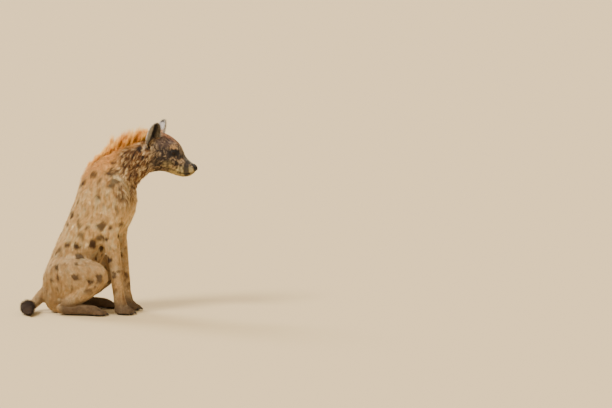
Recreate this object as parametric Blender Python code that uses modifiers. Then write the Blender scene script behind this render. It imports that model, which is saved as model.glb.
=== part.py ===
"""A life-size spotted hyena, sitting upright and looking ahead.

Metres, +Z up, the head towards +X. Every form is built in a body frame whose Y = 0 is the
animal's middle plane and whose X = 0 lies under the withers. The last step moves all of it so
that the origin is on the floor, under the middle of the outline.
"""

import math
import random

import bmesh
import bpy
import numpy as np
from mathutils import Euler, Matrix, Vector
from mathutils.bvhtree import BVHTree

GAP = 0.0003

# Each node's colour and roughness.
FINISHES = {
    "head": ((0.20, 0.14, 0.10), 0.85),
    "nose": ((0.015, 0.013, 0.012), 0.45),
    "eye": ((0.03, 0.015, 0.008), 0.10),
    "ear": ((0.16, 0.13, 0.11), 0.85),
    "neck": ((0.26, 0.16, 0.09), 0.90),
    "mane": ((0.45, 0.19, 0.05), 0.90),
    "torso": ((0.42, 0.30, 0.18), 0.90),
    "tail": ((0.36, 0.25, 0.15), 0.90),
    "tail_tuft": ((0.03, 0.024, 0.02), 0.90),
    "shoulder": ((0.42, 0.31, 0.19), 0.90),
    "forearm": ((0.36, 0.26, 0.16), 0.90),
    "forepaw": ((0.22, 0.15, 0.10), 0.85),
    "thigh": ((0.42, 0.30, 0.18), 0.90),
    "shank": ((0.36, 0.26, 0.16), 0.90),
    "hind_foot": ((0.22, 0.15, 0.10), 0.85),
}

# The trunk and neck, seat to skull. Each station is the back's point, the belly's point (x, z)
# and the half width there.
TRUNK = (
    ((-0.262, 0.020), (-0.150, -0.010), 0.085),
    ((-0.290, 0.075), (-0.095, 0.060), 0.122),
    ((-0.288, 0.150), (-0.045, 0.130), 0.136),
    ((-0.262, 0.240), (-0.005, 0.225), 0.138),
    ((-0.225, 0.335), (0.040, 0.315), 0.134),
    ((-0.182, 0.430), (0.098, 0.385), 0.134),
    ((-0.142, 0.520), (0.150, 0.455), 0.134),
    ((-0.114, 0.600), (0.182, 0.530), 0.130),
    ((-0.096, 0.665), (0.190, 0.590), 0.122),
    ((-0.068, 0.725), (0.190, 0.628), 0.112),
    ((-0.018, 0.774), (0.200, 0.652), 0.100),
    ((0.048, 0.810), (0.226, 0.674), 0.090),
    ((0.110, 0.838), (0.248, 0.692), 0.085),
    ((0.172, 0.862), (0.262, 0.703), 0.084),
    ((0.236, 0.882), (0.276, 0.709), 0.087),
    ((0.275, 0.892), (0.300, 0.710), 0.090),
)

# Limbs, as stations of (x, y, z, half size fore and aft, half size side to side), right side.
FORELEG = (
    (0.012, -0.050, 0.722, 0.046, 0.026),
    (0.036, -0.080, 0.684, 0.066, 0.036),
    (0.074, -0.099, 0.628, 0.078, 0.042),
    (0.108, -0.106, 0.562, 0.070, 0.045),
    (0.098, -0.109, 0.495, 0.064, 0.044),
    (0.072, -0.107, 0.425, 0.058, 0.041),
    (0.077, -0.102, 0.368, 0.046, 0.038),
    (0.090, -0.098, 0.300, 0.038, 0.033),
    (0.100, -0.094, 0.225, 0.032, 0.030),
    (0.106, -0.091, 0.155, 0.032, 0.031),
    (0.113, -0.088, 0.095, 0.029, 0.031),
    (0.122, -0.086, 0.045, 0.032, 0.036),
    (0.130, -0.086, 0.020, 0.034, 0.036),
)
THIGH = (
    (-0.205, -0.070, 0.140, 0.100, 0.060),
    (-0.160, -0.104, 0.168, 0.116, 0.068),
    (-0.105, -0.128, 0.192, 0.108, 0.068),
    (-0.048, -0.143, 0.207, 0.086, 0.060),
    (0.002, -0.151, 0.210, 0.064, 0.050),
    (0.028, -0.153, 0.203, 0.050, 0.043),
)
SHANK = (
    (0.028, -0.153, 0.196, 0.050, 0.043),
    (-0.010, -0.152, 0.158, 0.052, 0.044),
    (-0.060, -0.149, 0.112, 0.046, 0.040),
    (-0.108, -0.146, 0.075, 0.036, 0.033),
    (-0.145, -0.145, 0.052, 0.029, 0.028),
)
HIND_FOOT = (
    (-0.166, -0.144, 0.032, 0.027, 0.026),
    (-0.140, -0.144, 0.031, 0.033, 0.028),
    (-0.095, -0.145, 0.029, 0.030, 0.028),
    (-0.045, -0.147, 0.028, 0.028, 0.031),
    (-0.005, -0.149, 0.026, 0.026, 0.036),
    (0.018, -0.150, 0.022, 0.020, 0.034),
)
TAIL = (
    (-0.255, 0.000, 0.110, 0.038, 0.038),
    (-0.298, -0.003, 0.074, 0.033, 0.033),
    (-0.326, -0.020, 0.046, 0.029, 0.029),
    (-0.343, -0.056, 0.030, 0.026, 0.026),
    (-0.346, -0.100, 0.025, 0.023, 0.023),
)

# The bushy end of the tail, out to its hairs.
TUFT = (
    (-0.336, -0.040, 0.036, 0.029, 0.029),
    (-0.345, -0.075, 0.036, 0.036, 0.038),
    (-0.345, -0.115, 0.036, 0.040, 0.044),
    (-0.338, -0.155, 0.034, 0.038, 0.042),
    (-0.326, -0.190, 0.029, 0.030, 0.032),
    (-0.314, -0.218, 0.021, 0.018, 0.018),
)

# The shares of the body that count as the foreleg with its shoulder, and as the hind leg.
FORE_SHARE = (
    (0.000, -0.125, 0.765, 0.030, 0.030),
    (0.030, -0.130, 0.720, 0.065, 0.060),
    (0.075, -0.135, 0.640, 0.085, 0.070),
    (0.100, -0.135, 0.560, 0.088, 0.075),
    (0.085, -0.130, 0.480, 0.085, 0.075),
    (0.065, -0.120, 0.420, 0.080, 0.070),
    (0.075, -0.105, 0.350, 0.080, 0.060),
    (0.100, -0.095, 0.200, 0.080, 0.070),
    (0.110, -0.090, 0.050, 0.090, 0.075),
)
HIND_SHARE_AT = (-0.105, -0.155, 0.150)
HIND_SHARE_SIZE = (0.220, 0.095, 0.175)
HIND_SHARE_PITCH = -15

# Where the thin cuts go. A plane is a point and the direction of the piece beyond it.
NECK_BASE = ((0.012, 0.797), (0.214, 0.663))
HEAD_BASE = ((0.236, 0.882), (0.276, 0.709))
TAIL_CUT = ((-0.302, 0.0, 0.0), (-1, 0, 0))
TUFT_CUT = ((-0.343, -0.058, 0.0), (-0.15, -1, 0))
ELBOW_CUT = ((0.065, 0.0, 0.415), (0.12, 0, -1))
WRIST_CUT = ((0.0, 0.0, 0.085), (0, 0, -1))
KNEE_CUT = ((0.040, 0.0, 0.225), (0.53, 0, -0.85))
ANKLE_CUT = ((0.0, 0.0, 0.062), (0, 0, -1))

# The head, neck to lips: the top point, the underside point, then the half widths at the jaw,
# the cheek, the eye's height and the brow, which lie at the shares of the height in HEAD_LEVELS.
HEAD_LEVELS = (0.15, 0.42, 0.62, 0.84)
HEAD = (
    ((0.236, 0.882), (0.276, 0.709), 0.060, 0.086, 0.086, 0.062),
    ((0.268, 0.900), (0.300, 0.710), 0.066, 0.095, 0.093, 0.068),
    ((0.300, 0.907), (0.322, 0.709), 0.068, 0.101, 0.096, 0.071),
    ((0.337, 0.901), (0.346, 0.704), 0.064, 0.099, 0.090, 0.068),
    ((0.373, 0.881), (0.370, 0.697), 0.057, 0.087, 0.075, 0.063),
    ((0.402, 0.855), (0.392, 0.691), 0.051, 0.071, 0.061, 0.054),
    ((0.419, 0.827), (0.410, 0.687), 0.047, 0.060, 0.051, 0.042),
    ((0.432, 0.795), (0.426, 0.685), 0.045, 0.055, 0.048, 0.034),
    ((0.448, 0.774), (0.440, 0.685), 0.043, 0.052, 0.046, 0.031),
    ((0.465, 0.759), (0.454, 0.688), 0.040, 0.049, 0.045, 0.031),
    ((0.481, 0.747), (0.467, 0.695), 0.033, 0.041, 0.039, 0.028),
    ((0.490, 0.740), (0.478, 0.705), 0.021, 0.028, 0.028, 0.019),
    ((0.4935, 0.733), (0.486, 0.713), 0.010, 0.014, 0.014, 0.010),
)
HEAD_FRONT = (0.4945, 0.723)

# Soft bumps and hollows of the head: (x, y, z), radius, height along the surface's normal.
HEAD_RELIEF = (
    ((0.391, 0.060, 0.809), 0.020, -0.0090),
    ((0.385, 0.056, 0.839), 0.019, 0.0060),
    ((0.366, 0.082, 0.768), 0.026, 0.0050),
    ((0.418, 0.052, 0.768), 0.018, -0.0035),
    ((0.454, 0.044, 0.722), 0.016, 0.0035),
)

EYE_AT = (0.384, 0.808)
EYE_RADIUS, EYE_SHOWS = 0.0160, 0.0065
EYE_LOOK = (0.56, -0.82, 0.08)
EYE_SLANT = (0.93, 0.0, -0.36)
LID_HALF_WIDTH, LID_HALF_HEIGHT, LID_RADIUS = 0.0150, 0.0098, 0.0027

MOUTH = ((0.505, 0.711), (0.474, 0.709), (0.450, 0.706), (0.426, 0.709), (0.402, 0.719), (0.380, 0.733))
MOUTH_GAP, MOUTH_DEPTH, MOUTH_REACH = 0.0024, 0.0045, 0.1

# The bare pad of the nose: the muzzle's end inside this egg, raised by NOSE_RISE.
NOSE_AT, NOSE_SIZE, NOSE_PITCH = (0.489, 0.0, 0.7345), (0.0200, 0.0275, 0.0180), 30
NOSE_RISE = 0.0030
NOSTRIL_AT, NOSTRIL_SIZE = (0.4965, -0.0110, 0.7310), (0.0085, 0.0050, 0.0058)
NOSTRIL_SLIT_AT, NOSTRIL_SLIT_SIZE = (0.4890, -0.0215, 0.7300), (0.0070, 0.0075, 0.0024)

EAR_BASE, EAR_TIP = (0.266, -0.068, 0.822), (0.316, -0.108, 0.9575)
EAR_OPENS = (0.74, -0.67, 0.0)
EAR_DEPTH, EAR_THICK = 0.58, 0.0042

# Each row is the share of the ear's length, the half width there, and half the angle it wraps.
EAR_ROWS = (
    (0.00, 0.025, 150),
    (0.16, 0.033, 122),
    (0.36, 0.039, 98),
    (0.56, 0.041, 85),
    (0.75, 0.037, 74),
    (0.90, 0.027, 64),
    (1.00, 0.010, 55),
)

# The mane along the nape, as (x, skin's height, height of the hair's tips over it, half width).
MANE = (
    (0.256, 0.884, 0.030, 0.022),
    (0.225, 0.879, 0.046, 0.034),
    (0.160, 0.857, 0.056, 0.040),
    (0.095, 0.831, 0.062, 0.043),
    (0.048, 0.810, 0.056, 0.045),
    (0.010, 0.793, 0.046, 0.044),
    (-0.025, 0.767, 0.036, 0.040),
    (-0.058, 0.735, 0.020, 0.026),
)

# The mane's locks: for each row the place of the roots across it, how far the row leans to that
# side in degrees and its share of the height, then how many locks stand in a row. Each slopes
# ahead along the nape and then bends upright, as the rows of its path say: ahead, then out.
MANE_CORE = 0.30
MANE_CORE_WIDTH = 0.62
MANE_ROWS = ((0.0, 0, 1.0), (0.009, 24, 0.98), (-0.009, -24, 0.98), (0.021, 54, 0.86), (-0.021, -54, 0.86))
MANE_ALONG = 10
MANE_PATH = ((-0.45, -0.22), (0.28, 0.42), (0.55, 0.92))
MANE_LOCK_WIDTH, MANE_LOCK_THICK = 0.028, 0.0090

# The tuft's locks: how many stand round the tail, in how many rows along it, where the rows
# start, and how far each lock reaches, as shares of the tuft's length.
TUFT_CORE = 0.60
TUFT_ROUND, TUFT_ROWS = 5, 4
TUFT_START, TUFT_SPREAD, TUFT_REACH = 0.10, 0.72, 0.42
TUFT_LOCK_WIDTH, TUFT_LOCK_THICK = 0.026, 0.0070

LOCK_TAPER = (0.75, 1.0, 0.72)

FORE_TOES = {"x": 0.150, "y": -0.086, "reach": (0.176, 0.190), "half": 0.0122, "height": 0.0175}
HIND_TOES = {"x": 0.020, "y": -0.149, "reach": (0.048, 0.060), "half": 0.0106, "height": 0.0155}
TOE_PLACES = (-1.5, -0.5, 0.5, 1.5)
TOE_PITCH = 1.74
CLAW_LENGTH, CLAW_RADIUS = 0.0190, 0.0042
PALM_AT, PALM_SIZE = (0.128, -0.086, 0.028), (0.040, 0.038, 0.030)


def point(x, z):
    return Vector((x, 0.0, z))


def add_object(name, mesh, collection):
    obj = bpy.data.objects.new(name, mesh)
    collection.objects.link(obj)
    return obj


def add_node(name, mesh, collection):
    """A finished piece, smooth shaded, in its own material."""
    obj = add_object(name, mesh, collection)
    mesh.name = name
    mesh.shade_smooth()
    mesh.set_sharp_from_angle(angle=math.radians(50))
    colour, roughness = FINISHES[name.removesuffix("_right").removesuffix("_left")]
    material = bpy.data.materials.new(name)
    material.use_nodes = True
    shader = material.node_tree.nodes["Principled BSDF"]
    shader.inputs["Base Color"].default_value = (*colour, 1)
    shader.inputs["Roughness"].default_value = roughness
    shader.inputs["Metallic"].default_value = 0
    mesh.materials.clear()
    mesh.materials.append(material)
    return obj


def add_pair(name, mesh, collection):
    """The right one and its mirror image on the left."""
    add_node(name + "_right", mesh, collection)
    add_node(name + "_left", mirrored(mesh), collection)


def between(a, b, c, d, f):
    """The point at share f from b to c, on the smooth curve through a, b, c and d."""
    return 0.5 * (2 * b + (c - a) * f + (2 * a - 5 * b + 4 * c - d) * f**2 + (3 * b - a - 3 * c + d) * f**3)


def spline(rows, count):
    """The rows of numbers, read again at count even steps along a smooth curve through them."""
    rows = np.array(rows, float)
    padded = np.vstack([2 * rows[0] - rows[1], rows, 2 * rows[-1] - rows[-2]])
    out = []
    for t in np.linspace(0, len(rows) - 1, count):
        i = min(int(t), len(rows) - 2)
        out.append(between(*padded[i : i + 4], t - i))
    return np.array(out)


def closed_spline(rows, count):
    """Count points on a smooth closed curve through the rows."""
    rows = np.array(rows, float)
    out = []
    for t in np.linspace(0, len(rows), count, endpoint=False):
        i = int(t)
        out.append(between(*(rows[(i + k) % len(rows)] for k in (-1, 0, 1, 2)), t - i))
    return out


def mesh_from(bm, name):
    """A mesh of triangles, split alike in any two forms of one kind, with its faces outwards."""
    bmesh.ops.triangulate(bm, faces=bm.faces, quad_method="FIXED")
    bmesh.ops.recalc_face_normals(bm, faces=bm.faces)
    mesh = bpy.data.meshes.new(name)
    bm.to_mesh(mesh)
    bm.free()
    return mesh


def rings_mesh(name, rings, end=None, endless=False):
    """A closed mesh through rings of equal length, capped flat, to a point, or joined end to end."""
    bm = bmesh.new()
    loops = [[bm.verts.new(p) for p in ring] for ring in rings]
    sides = len(loops[0])
    pairs = list(zip(loops, loops[1:]))
    if endless:
        pairs.append((loops[-1], loops[0]))
    for low, high in pairs:
        for i in range(sides):
            j = (i + 1) % sides
            bm.faces.new((low[i], low[j], high[j], high[i]))
    if not endless:
        bm.faces.new(loops[0])
        if end is None:
            bm.faces.new(loops[-1])
        else:
            apex = bm.verts.new(end)
            for i in range(sides):
                bm.faces.new((loops[-1][i], loops[-1][(i + 1) % sides], apex))
    return mesh_from(bm, name)


def oval(centre, side, up, half_side, half_up, sides, boxy=2.0):
    """A ring of points round centre, an ellipse at boxy 2 and squarer above it."""
    ring = []
    for i in range(sides):
        angle = 2 * math.pi * i / sides
        c, s = math.cos(angle), math.sin(angle)
        across = side * (half_side * math.copysign(abs(c) ** (2 / boxy), c))
        ring.append(centre + across + up * (half_up * math.copysign(abs(s) ** (2 / boxy), s)))
    return ring


def trunk_mesh(count=40, sides=40, boxy=2.15):
    """The trunk and neck: ovals square to the middle plane, from back to belly."""
    rings = []
    for bx, bz, vx, vz, half in spline([(*back, *belly, half) for back, belly, half in TRUNK], count):
        back, belly = point(bx, bz), point(vx, vz)
        up = (back - belly).normalized()
        middle, reach = (back + belly) / 2, (back - belly).length / 2
        rings.append(oval(middle, Vector((0, 1, 0)), up, half, reach, sides, boxy))
    return rings_mesh("trunk", rings)


def limb_mesh(name, stations, count=24, sides=24, lies=False):
    """A tube of ovals square to its path, with rounded ends.

    The half sizes of a station are fore and aft, then side to side. On a limb that lies, whose
    path may turn any way along the floor, they are up and down, then side to side.
    """
    rows = spline(stations, count)
    centres = [Vector(row[:3]) for row in rows]
    rings = []
    for i, row in enumerate(rows):
        along = (centres[min(i + 1, count - 1)] - centres[max(i - 1, 0)]).normalized()
        side = Vector((0, 0, 1)).cross(along) if lies else Vector((0, 1, 0))
        side = (side - along * side.dot(along)).normalized()
        ahead = side.cross(along)
        half_ahead, half_side = row[3:]
        rounding = [0.0]
        if i == 0:
            rounding = [-1.25, -0.8, -0.4, 0.0]
        if i == count - 1:
            rounding = [0.0, 0.4, 0.8, 1.25]
        for angle in rounding:
            centre = centres[i] + along * (min(half_side, half_ahead) * math.sin(angle))
            shrink = math.cos(angle)
            rings.append(oval(centre, side, ahead, half_side * shrink, half_ahead * shrink, sides))
    return rings_mesh(name, rings)


def ball_mesh(name, centre, radii, pitch=0, segments=24, rings=14):
    """An ellipsoid, turned about Y by pitch degrees."""
    turn = Euler((0, math.radians(pitch), 0)).to_matrix().to_4x4()
    place = Matrix.Translation(centre) @ turn @ Matrix.Diagonal((*radii, 1))
    bm = bmesh.new()
    bmesh.ops.create_uvsphere(bm, u_segments=segments, v_segments=rings, radius=1, matrix=place)
    return mesh_from(bm, name)


def mirrored(mesh):
    """A copy of the mesh on the other side of the middle plane."""
    copy = mesh.copy()
    copy.transform(Matrix.Scale(-1, 4, (0, 1, 0)))
    copy.flip_normals()
    return copy


def swollen(mesh, by=GAP):
    """A copy of the mesh, moved out by a little all over."""
    copy = mesh.copy()
    normals = [v.normal.copy() for v in copy.vertices]
    for vert, normal in zip(copy.vertices, normals):
        vert.co += normal * by
    return copy


def joined(meshes):
    bm = bmesh.new()
    for mesh in meshes:
        bm.from_mesh(mesh)
    out = bpy.data.meshes.new("joined")
    bm.to_mesh(out)
    bm.free()
    return out


def evaluated(obj):
    """The object's mesh with its modifiers applied. The object itself goes."""
    graph = bpy.context.evaluated_depsgraph_get()
    mesh = bpy.data.meshes.new_from_object(obj.evaluated_get(graph))
    bpy.data.objects.remove(obj)
    return mesh


def fused(meshes, voxel, smooth, triangles, symmetric=False):
    """One skin round all the meshes, with the creases where they meet smoothed out."""
    obj = add_object("fused", joined(meshes), bpy.context.scene.collection)
    remesh = obj.modifiers.new("one_skin", "REMESH")
    remesh.mode = "VOXEL"
    remesh.voxel_size = voxel
    soften = obj.modifiers.new("soften", "SMOOTH")
    soften.factor = 0.5
    soften.iterations = smooth
    mesh = evaluated(obj)
    whole = sum(len(p.vertices) - 2 for p in mesh.polygons)
    obj = add_object("fused", mesh, bpy.context.scene.collection)
    fewer = obj.modifiers.new("fewer_faces", "DECIMATE")
    fewer.ratio = triangles / whole
    fewer.use_symmetry = symmetric
    fewer.symmetry_axis = "Y"
    return evaluated(obj)


def largest_body(mesh):
    """Keeps only the largest connected surface."""
    bm = bmesh.new()
    bm.from_mesh(mesh)
    left = set(bm.verts)
    islands = []
    while left:
        stack = [left.pop()]
        island = set(stack)
        while stack:
            for edge in stack.pop().link_edges:
                for vert in edge.verts:
                    if vert not in island:
                        island.add(vert)
                        stack.append(vert)
        left -= island
        islands.append(island)
    keep = max(islands, key=len)
    bmesh.ops.delete(bm, geom=[v for v in bm.verts if v not in keep], context="VERTS")
    bm.to_mesh(mesh)
    bm.free()
    return mesh


def combined(mesh, others, operation):
    """The mesh after one Boolean with all the others."""
    tools = bpy.data.collections.new("tools")
    for other in others:
        add_object("tool", other, tools)
    obj = add_object("combined", mesh, bpy.context.scene.collection)
    change = obj.modifiers.new(operation.lower(), "BOOLEAN")
    change.operation = operation
    change.solver = "MANIFOLD"
    change.operand_type = "COLLECTION"
    change.collection = tools
    out = largest_body(evaluated(obj))
    for tool in list(tools.objects):
        bpy.data.objects.remove(tool)
    bpy.data.collections.remove(tools)
    return out


def beyond(mesh, plane):
    """The part of a closed mesh beyond a plane, closed again, half the gap short of it."""
    at, normal = Vector(plane[0]), Vector(plane[1]).normalized()
    bm = bmesh.new()
    bm.from_mesh(mesh)
    cut = bmesh.ops.bisect_plane(
        bm,
        geom=bm.verts[:] + bm.edges[:] + bm.faces[:],
        dist=1e-6,
        plane_co=at + normal * (GAP / 2),
        plane_no=normal,
        clear_inner=True,
    )
    rim = [e for e in cut["geom_cut"] if isinstance(e, bmesh.types.BMEdge)]
    bmesh.ops.holes_fill(bm, edges=rim, sides=0)
    bmesh.ops.triangulate(bm, faces=[f for f in bm.faces if len(f.verts) > 4])
    out = bpy.data.meshes.new("beyond")
    bm.to_mesh(out)
    bm.free()
    return largest_body(out)


def short_of(mesh, plane):
    """The part of the mesh on the near side of the plane."""
    return beyond(mesh, (plane[0], -Vector(plane[1])))


def on_floor(mesh):
    """The mesh with all that is under the floor cut away, which leaves small flats to rest on."""
    return beyond(mesh, ((0, 0, -GAP / 2), (0, 0, 1)))


def cross_plane(back, belly):
    """The plane through a point on the back and one underneath, with the piece ahead beyond it."""
    up = (point(*back) - point(*belly)).normalized()
    return point(*back), Vector((0, 1, 0)).cross(up)


def body_mesh():
    """The whole body without its head and feet, as one skin."""
    limbs = [limb_mesh("foreleg", FORELEG), limb_mesh("thigh", THIGH), limb_mesh("shank", SHANK)]
    limbs += [mirrored(limb) for limb in limbs]
    tail = limb_mesh("tail", TAIL, lies=True)
    body = fused([trunk_mesh(), tail, *limbs], 0.008, 9, 3300, symmetric=True)
    return short_of(on_floor(body), cross_plane(*HEAD_BASE))


def build_body(body, hind_foot, collection):
    """Parts the body with thin cuts into the neck, torso, tail and legs."""
    neck_plane = cross_plane(*NECK_BASE)
    add_node("neck", beyond(body, neck_plane), collection)
    rest = short_of(body, neck_plane)
    tail = beyond(rest, TAIL_CUT)
    add_node("tail", short_of(tail, TUFT_CUT), collection)
    rest = short_of(rest, TAIL_CUT)

    fore = limb_mesh("fore", FORE_SHARE, 13, 12)
    hind = ball_mesh("hind", HIND_SHARE_AT, HIND_SHARE_SIZE, HIND_SHARE_PITCH, 18, 10)
    foot_room = swollen(hind_foot)
    rooms = [swollen(fore), swollen(hind), foot_room]
    torso = combined(rest, rooms + [mirrored(room) for room in rooms], "DIFFERENCE")
    add_node("torso", torso, collection)

    foreleg = combined(rest, [fore], "INTERSECT")
    add_pair("shoulder", short_of(foreleg, ELBOW_CUT), collection)
    add_pair("forearm", short_of(beyond(foreleg, ELBOW_CUT), WRIST_CUT), collection)
    hind_leg = combined(combined(rest, [hind], "INTERSECT"), [foot_room], "DIFFERENCE")
    add_pair("thigh", short_of(hind_leg, KNEE_CUT), collection)
    add_pair("shank", beyond(hind_leg, KNEE_CUT), collection)


def head_mesh(grow=0.0, count=25, sides=30):
    """The head as a loft of half widths at four heights. grow moves the whole surface out or in."""
    rings = []
    for row in spline([(*top, *under, *widths) for top, under, *widths in HEAD], count):
        top, under = point(*row[:2]), point(*row[2:4])
        up = (top - under).normalized()
        height = (top - under).length
        right = [(half + grow, share * height) for half, share in zip(row[4:], HEAD_LEVELS)]
        left = [(-y, level) for y, level in reversed(right)]
        outline = [(0, -grow), *right, (0, height + grow), *left]
        rings.append([under + Vector((0, y, 0)) + up * level for y, level in closed_spline(outline, sides)])
    return rings_mesh("head", rings, end=point(*HEAD_FRONT) + Vector((grow, 0, 0)))


def shape_head(mesh):
    """Raises the brows, cheekbones and lips, and sinks the hollows round the eyes."""
    for (x, y, z), radius, amount in HEAD_RELIEF:
        for centre in (Vector((x, y, z)), Vector((x, -y, z))):
            normals = [v.normal.copy() for v in mesh.vertices]
            for vert, normal in zip(mesh.vertices, normals):
                vert.co += normal * (amount * math.exp(-(((vert.co - centre).length / radius) ** 2)))


def eye_centre(head):
    """Where the right eyeball's centre is, so that it stands out of the head by EYE_SHOWS."""
    tree = BVHTree.FromPolygons([v.co for v in head.vertices], [p.vertices for p in head.polygons])
    skin = tree.ray_cast(Vector((EYE_AT[0], -1, EYE_AT[1])), Vector((0, 1, 0)))[0]
    return skin - Vector(EYE_LOOK).normalized() * (EYE_RADIUS - EYE_SHOWS)


def lids_mesh(centre, steps=16, sides=5):
    """An almond ring of skin that lies on the eyeball."""
    look = Vector(EYE_LOOK).normalized()
    along = Vector(EYE_SLANT)
    along = (along - look * along.dot(look)).normalized()
    up = look.cross(along)
    reach = EYE_RADIUS + LID_RADIUS * 0.4
    rings = []
    for i in range(steps):
        angle = 2 * math.pi * i / steps
        u, v = LID_HALF_WIDTH * math.cos(angle), LID_HALF_HEIGHT * math.sin(angle)
        depth = math.sqrt(max(reach**2 - u**2 - v**2, 0))
        outward = (along * (u / LID_HALF_WIDTH**2) + up * (v / LID_HALF_HEIGHT**2)).normalized()
        spot = centre + along * u + up * v + look * depth
        rings.append(oval(spot, outward, look, LID_RADIUS, LID_RADIUS, sides))
    return rings_mesh("lids", rings, endless=True)


def mouth_mesh():
    """A thin curved sheet along the line of the mouth, as deep as the crease between the lips."""
    corners = ((-1, -0.5), (1, -0.5), (1, 0.5), (-1, 0.5))
    rings = []
    for x, z in spline(MOUTH, 11):
        rings.append([Vector((x, y * MOUTH_REACH, z + share * MOUTH_GAP)) for y, share in corners])
    return combined(rings_mesh("mouth", rings), [head_mesh(grow=-MOUTH_DEPTH)], "DIFFERENCE")


def build_head(collection):
    """The head with its lids and mouth, and the eyes and nose that sit in it."""
    head = head_mesh()
    shape_head(head)
    centre = eye_centre(head)
    lids = lids_mesh(centre)
    head = combined(head, [lids, mirrored(lids)], "UNION")
    eye = ball_mesh("eye", centre, [EYE_RADIUS] * 3, segments=14, rings=8)
    socket = ball_mesh("socket", centre, [EYE_RADIUS + GAP] * 3, segments=14, rings=8)
    egg = ball_mesh("egg", NOSE_AT, NOSE_SIZE, NOSE_PITCH, 16, 8)
    nose = combined(head_mesh(NOSE_RISE, 16, 18), [egg], "INTERSECT")
    head = combined(head, [socket, mirrored(socket), swollen(nose), mouth_mesh()], "DIFFERENCE")
    dents = [
        ball_mesh("nostril", NOSTRIL_AT, NOSTRIL_SIZE, 0, 8, 5),
        ball_mesh("nostril_slit", NOSTRIL_SLIT_AT, NOSTRIL_SLIT_SIZE, 0, 8, 5),
    ]
    nose = combined(nose, dents + [mirrored(dent) for dent in dents], "DIFFERENCE")
    head = beyond(head, cross_plane(*HEAD_BASE))
    add_node("head", head, collection)
    add_node("nose", nose, collection)
    add_pair("eye", eye, collection)
    return head


def ear_mesh(steps=8, count=9):
    """A cupped ear: a curved blade that wraps round at its root and opens ahead and outwards."""
    base, tip = Vector(EAR_BASE), Vector(EAR_TIP)
    up = (tip - base).normalized()
    opens = Vector(EAR_OPENS)
    opens = (opens - up * opens.dot(up)).normalized()
    side = up.cross(opens)
    rings = []
    for share, half, wrap in spline(EAR_ROWS, count):
        centre = base.lerp(tip, share)
        ring = []
        for radius, order in ((half, 1), (half - min(EAR_THICK, half * 0.45), -1)):
            for i in range(-steps // 2, steps // 2 + 1):
                angle = math.radians(wrap) * order * 2 * i / steps
                back = opens * (radius * EAR_DEPTH * math.cos(angle))
                ring.append(centre + side * (radius * math.sin(angle)) - back)
        rings.append(ring)
    return rings_mesh("ear", rings)


def lock_mesh(root, middle, tip, broad, width, thick):
    """A flat lock of hair, bent from its root to its tip, widest low down and tapered to a point."""
    *path, end = [Vector(row) for row in spline([root, middle, tip], len(LOCK_TAPER) + 1)]
    rings = []
    for i, (spot, share) in enumerate(zip(path, LOCK_TAPER)):
        along = ((path + [end])[i + 1] - path[max(i - 1, 0)]).normalized()
        side = (broad - along * broad.dot(along)).normalized() * (width / 2 * share)
        face = along.cross(side).normalized() * (thick / 2 * share)
        rings.append([spot + side, spot + face, spot - side, spot - face])
    return rings_mesh("lock", rings, end=end)


def mane_locks(skin, rng):
    """Locks in staggered rows along the nape, each rooted in the skin under it."""
    first, last = MANE[-1][0], MANE[0][0]
    rows = sorted(MANE)
    locks = []
    for row, (place, splay, reach) in enumerate(MANE_ROWS):
        for step in range(MANE_ALONG):
            share = (step + 0.5 * (row % 2) + rng.uniform(0.1, 0.5)) / MANE_ALONG
            x = first + (last - first) * min(share, 1)
            height = np.interp(x, [r[0] for r in rows], [r[2] for r in rows])
            y = place + rng.uniform(-0.003, 0.003)
            spot = skin.ray_cast(Vector((x, y, 2)), Vector((0, 0, -1)))[0]
            ahead = (skin.ray_cast(Vector((x + 0.02, y, 2)), Vector((0, 0, -1)))[0] - spot).normalized()
            turn = math.radians(splay + rng.uniform(-6, 6))
            side = Vector((0, 1, 0))
            out = ahead.cross(side) * math.cos(turn) + side * math.sin(turn)
            size = height * reach * rng.uniform(0.90, 1.10)
            lean = rng.uniform(-0.15, 0.15)
            root, middle, tip = (
                spot + ahead * ((run + lean * rise) * size) + out * (rise * size) for run, rise in MANE_PATH
            )
            broad = ahead + ahead.cross(out) * rng.uniform(-0.6, 0.6)
            width = MANE_LOCK_WIDTH * rng.uniform(0.8, 1.15)
            locks.append(lock_mesh(root, middle, tip, broad, width, MANE_LOCK_THICK))
    return locks


def mane_mesh(skin, rooms, rng):
    """The upright hair along the nape, clear of the rooms that its neighbours take."""
    rows = [(x, 0.0, z, height * MANE_CORE, half * MANE_CORE_WIDTH) for x, z, height, half in MANE]
    core = limb_mesh("mane", rows, count=12, sides=10)
    return combined(combined(core, mane_locks(skin, rng), "UNION"), rooms, "DIFFERENCE")


def tuft_locks(rng):
    """Locks in rings round the end of the tail, which lie along it one over another."""
    rows = spline(TUFT, 41)
    centres = [Vector(row[:3]) for row in rows]
    locks = []
    for row in range(TUFT_ROWS):
        for turn in range(TUFT_ROUND):
            start = TUFT_START + TUFT_SPREAD * (row + rng.uniform(0, 0.5)) / TUFT_ROWS
            angle = 2 * math.pi * (turn + 0.5 * (row % 2) + rng.uniform(-0.2, 0.2)) / TUFT_ROUND
            path = []
            for share, out in ((0, TUFT_CORE * 0.7), (0.5, 0.92), (1, rng.uniform(0.95, 1.1))):
                at = start + share * TUFT_REACH * rng.uniform(0.85, 1.15)
                i = min(round(at * 40), 39)
                along = (centres[i + 1] - centres[i]).normalized()
                side = Vector((0, 0, 1)).cross(along).normalized()
                up = along.cross(side)
                half_up, half_side = rows[i][3:]
                away = side * (math.cos(angle) * half_side) + up * (math.sin(angle) * half_up)
                path.append(centres[i] + along * max(at - 1, 0) * 0.2 + away * out)
            broad = along.cross(away)
            width = TUFT_LOCK_WIDTH * rng.uniform(0.8, 1.15)
            locks.append(lock_mesh(*path, broad, width, TUFT_LOCK_THICK))
    return locks


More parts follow.
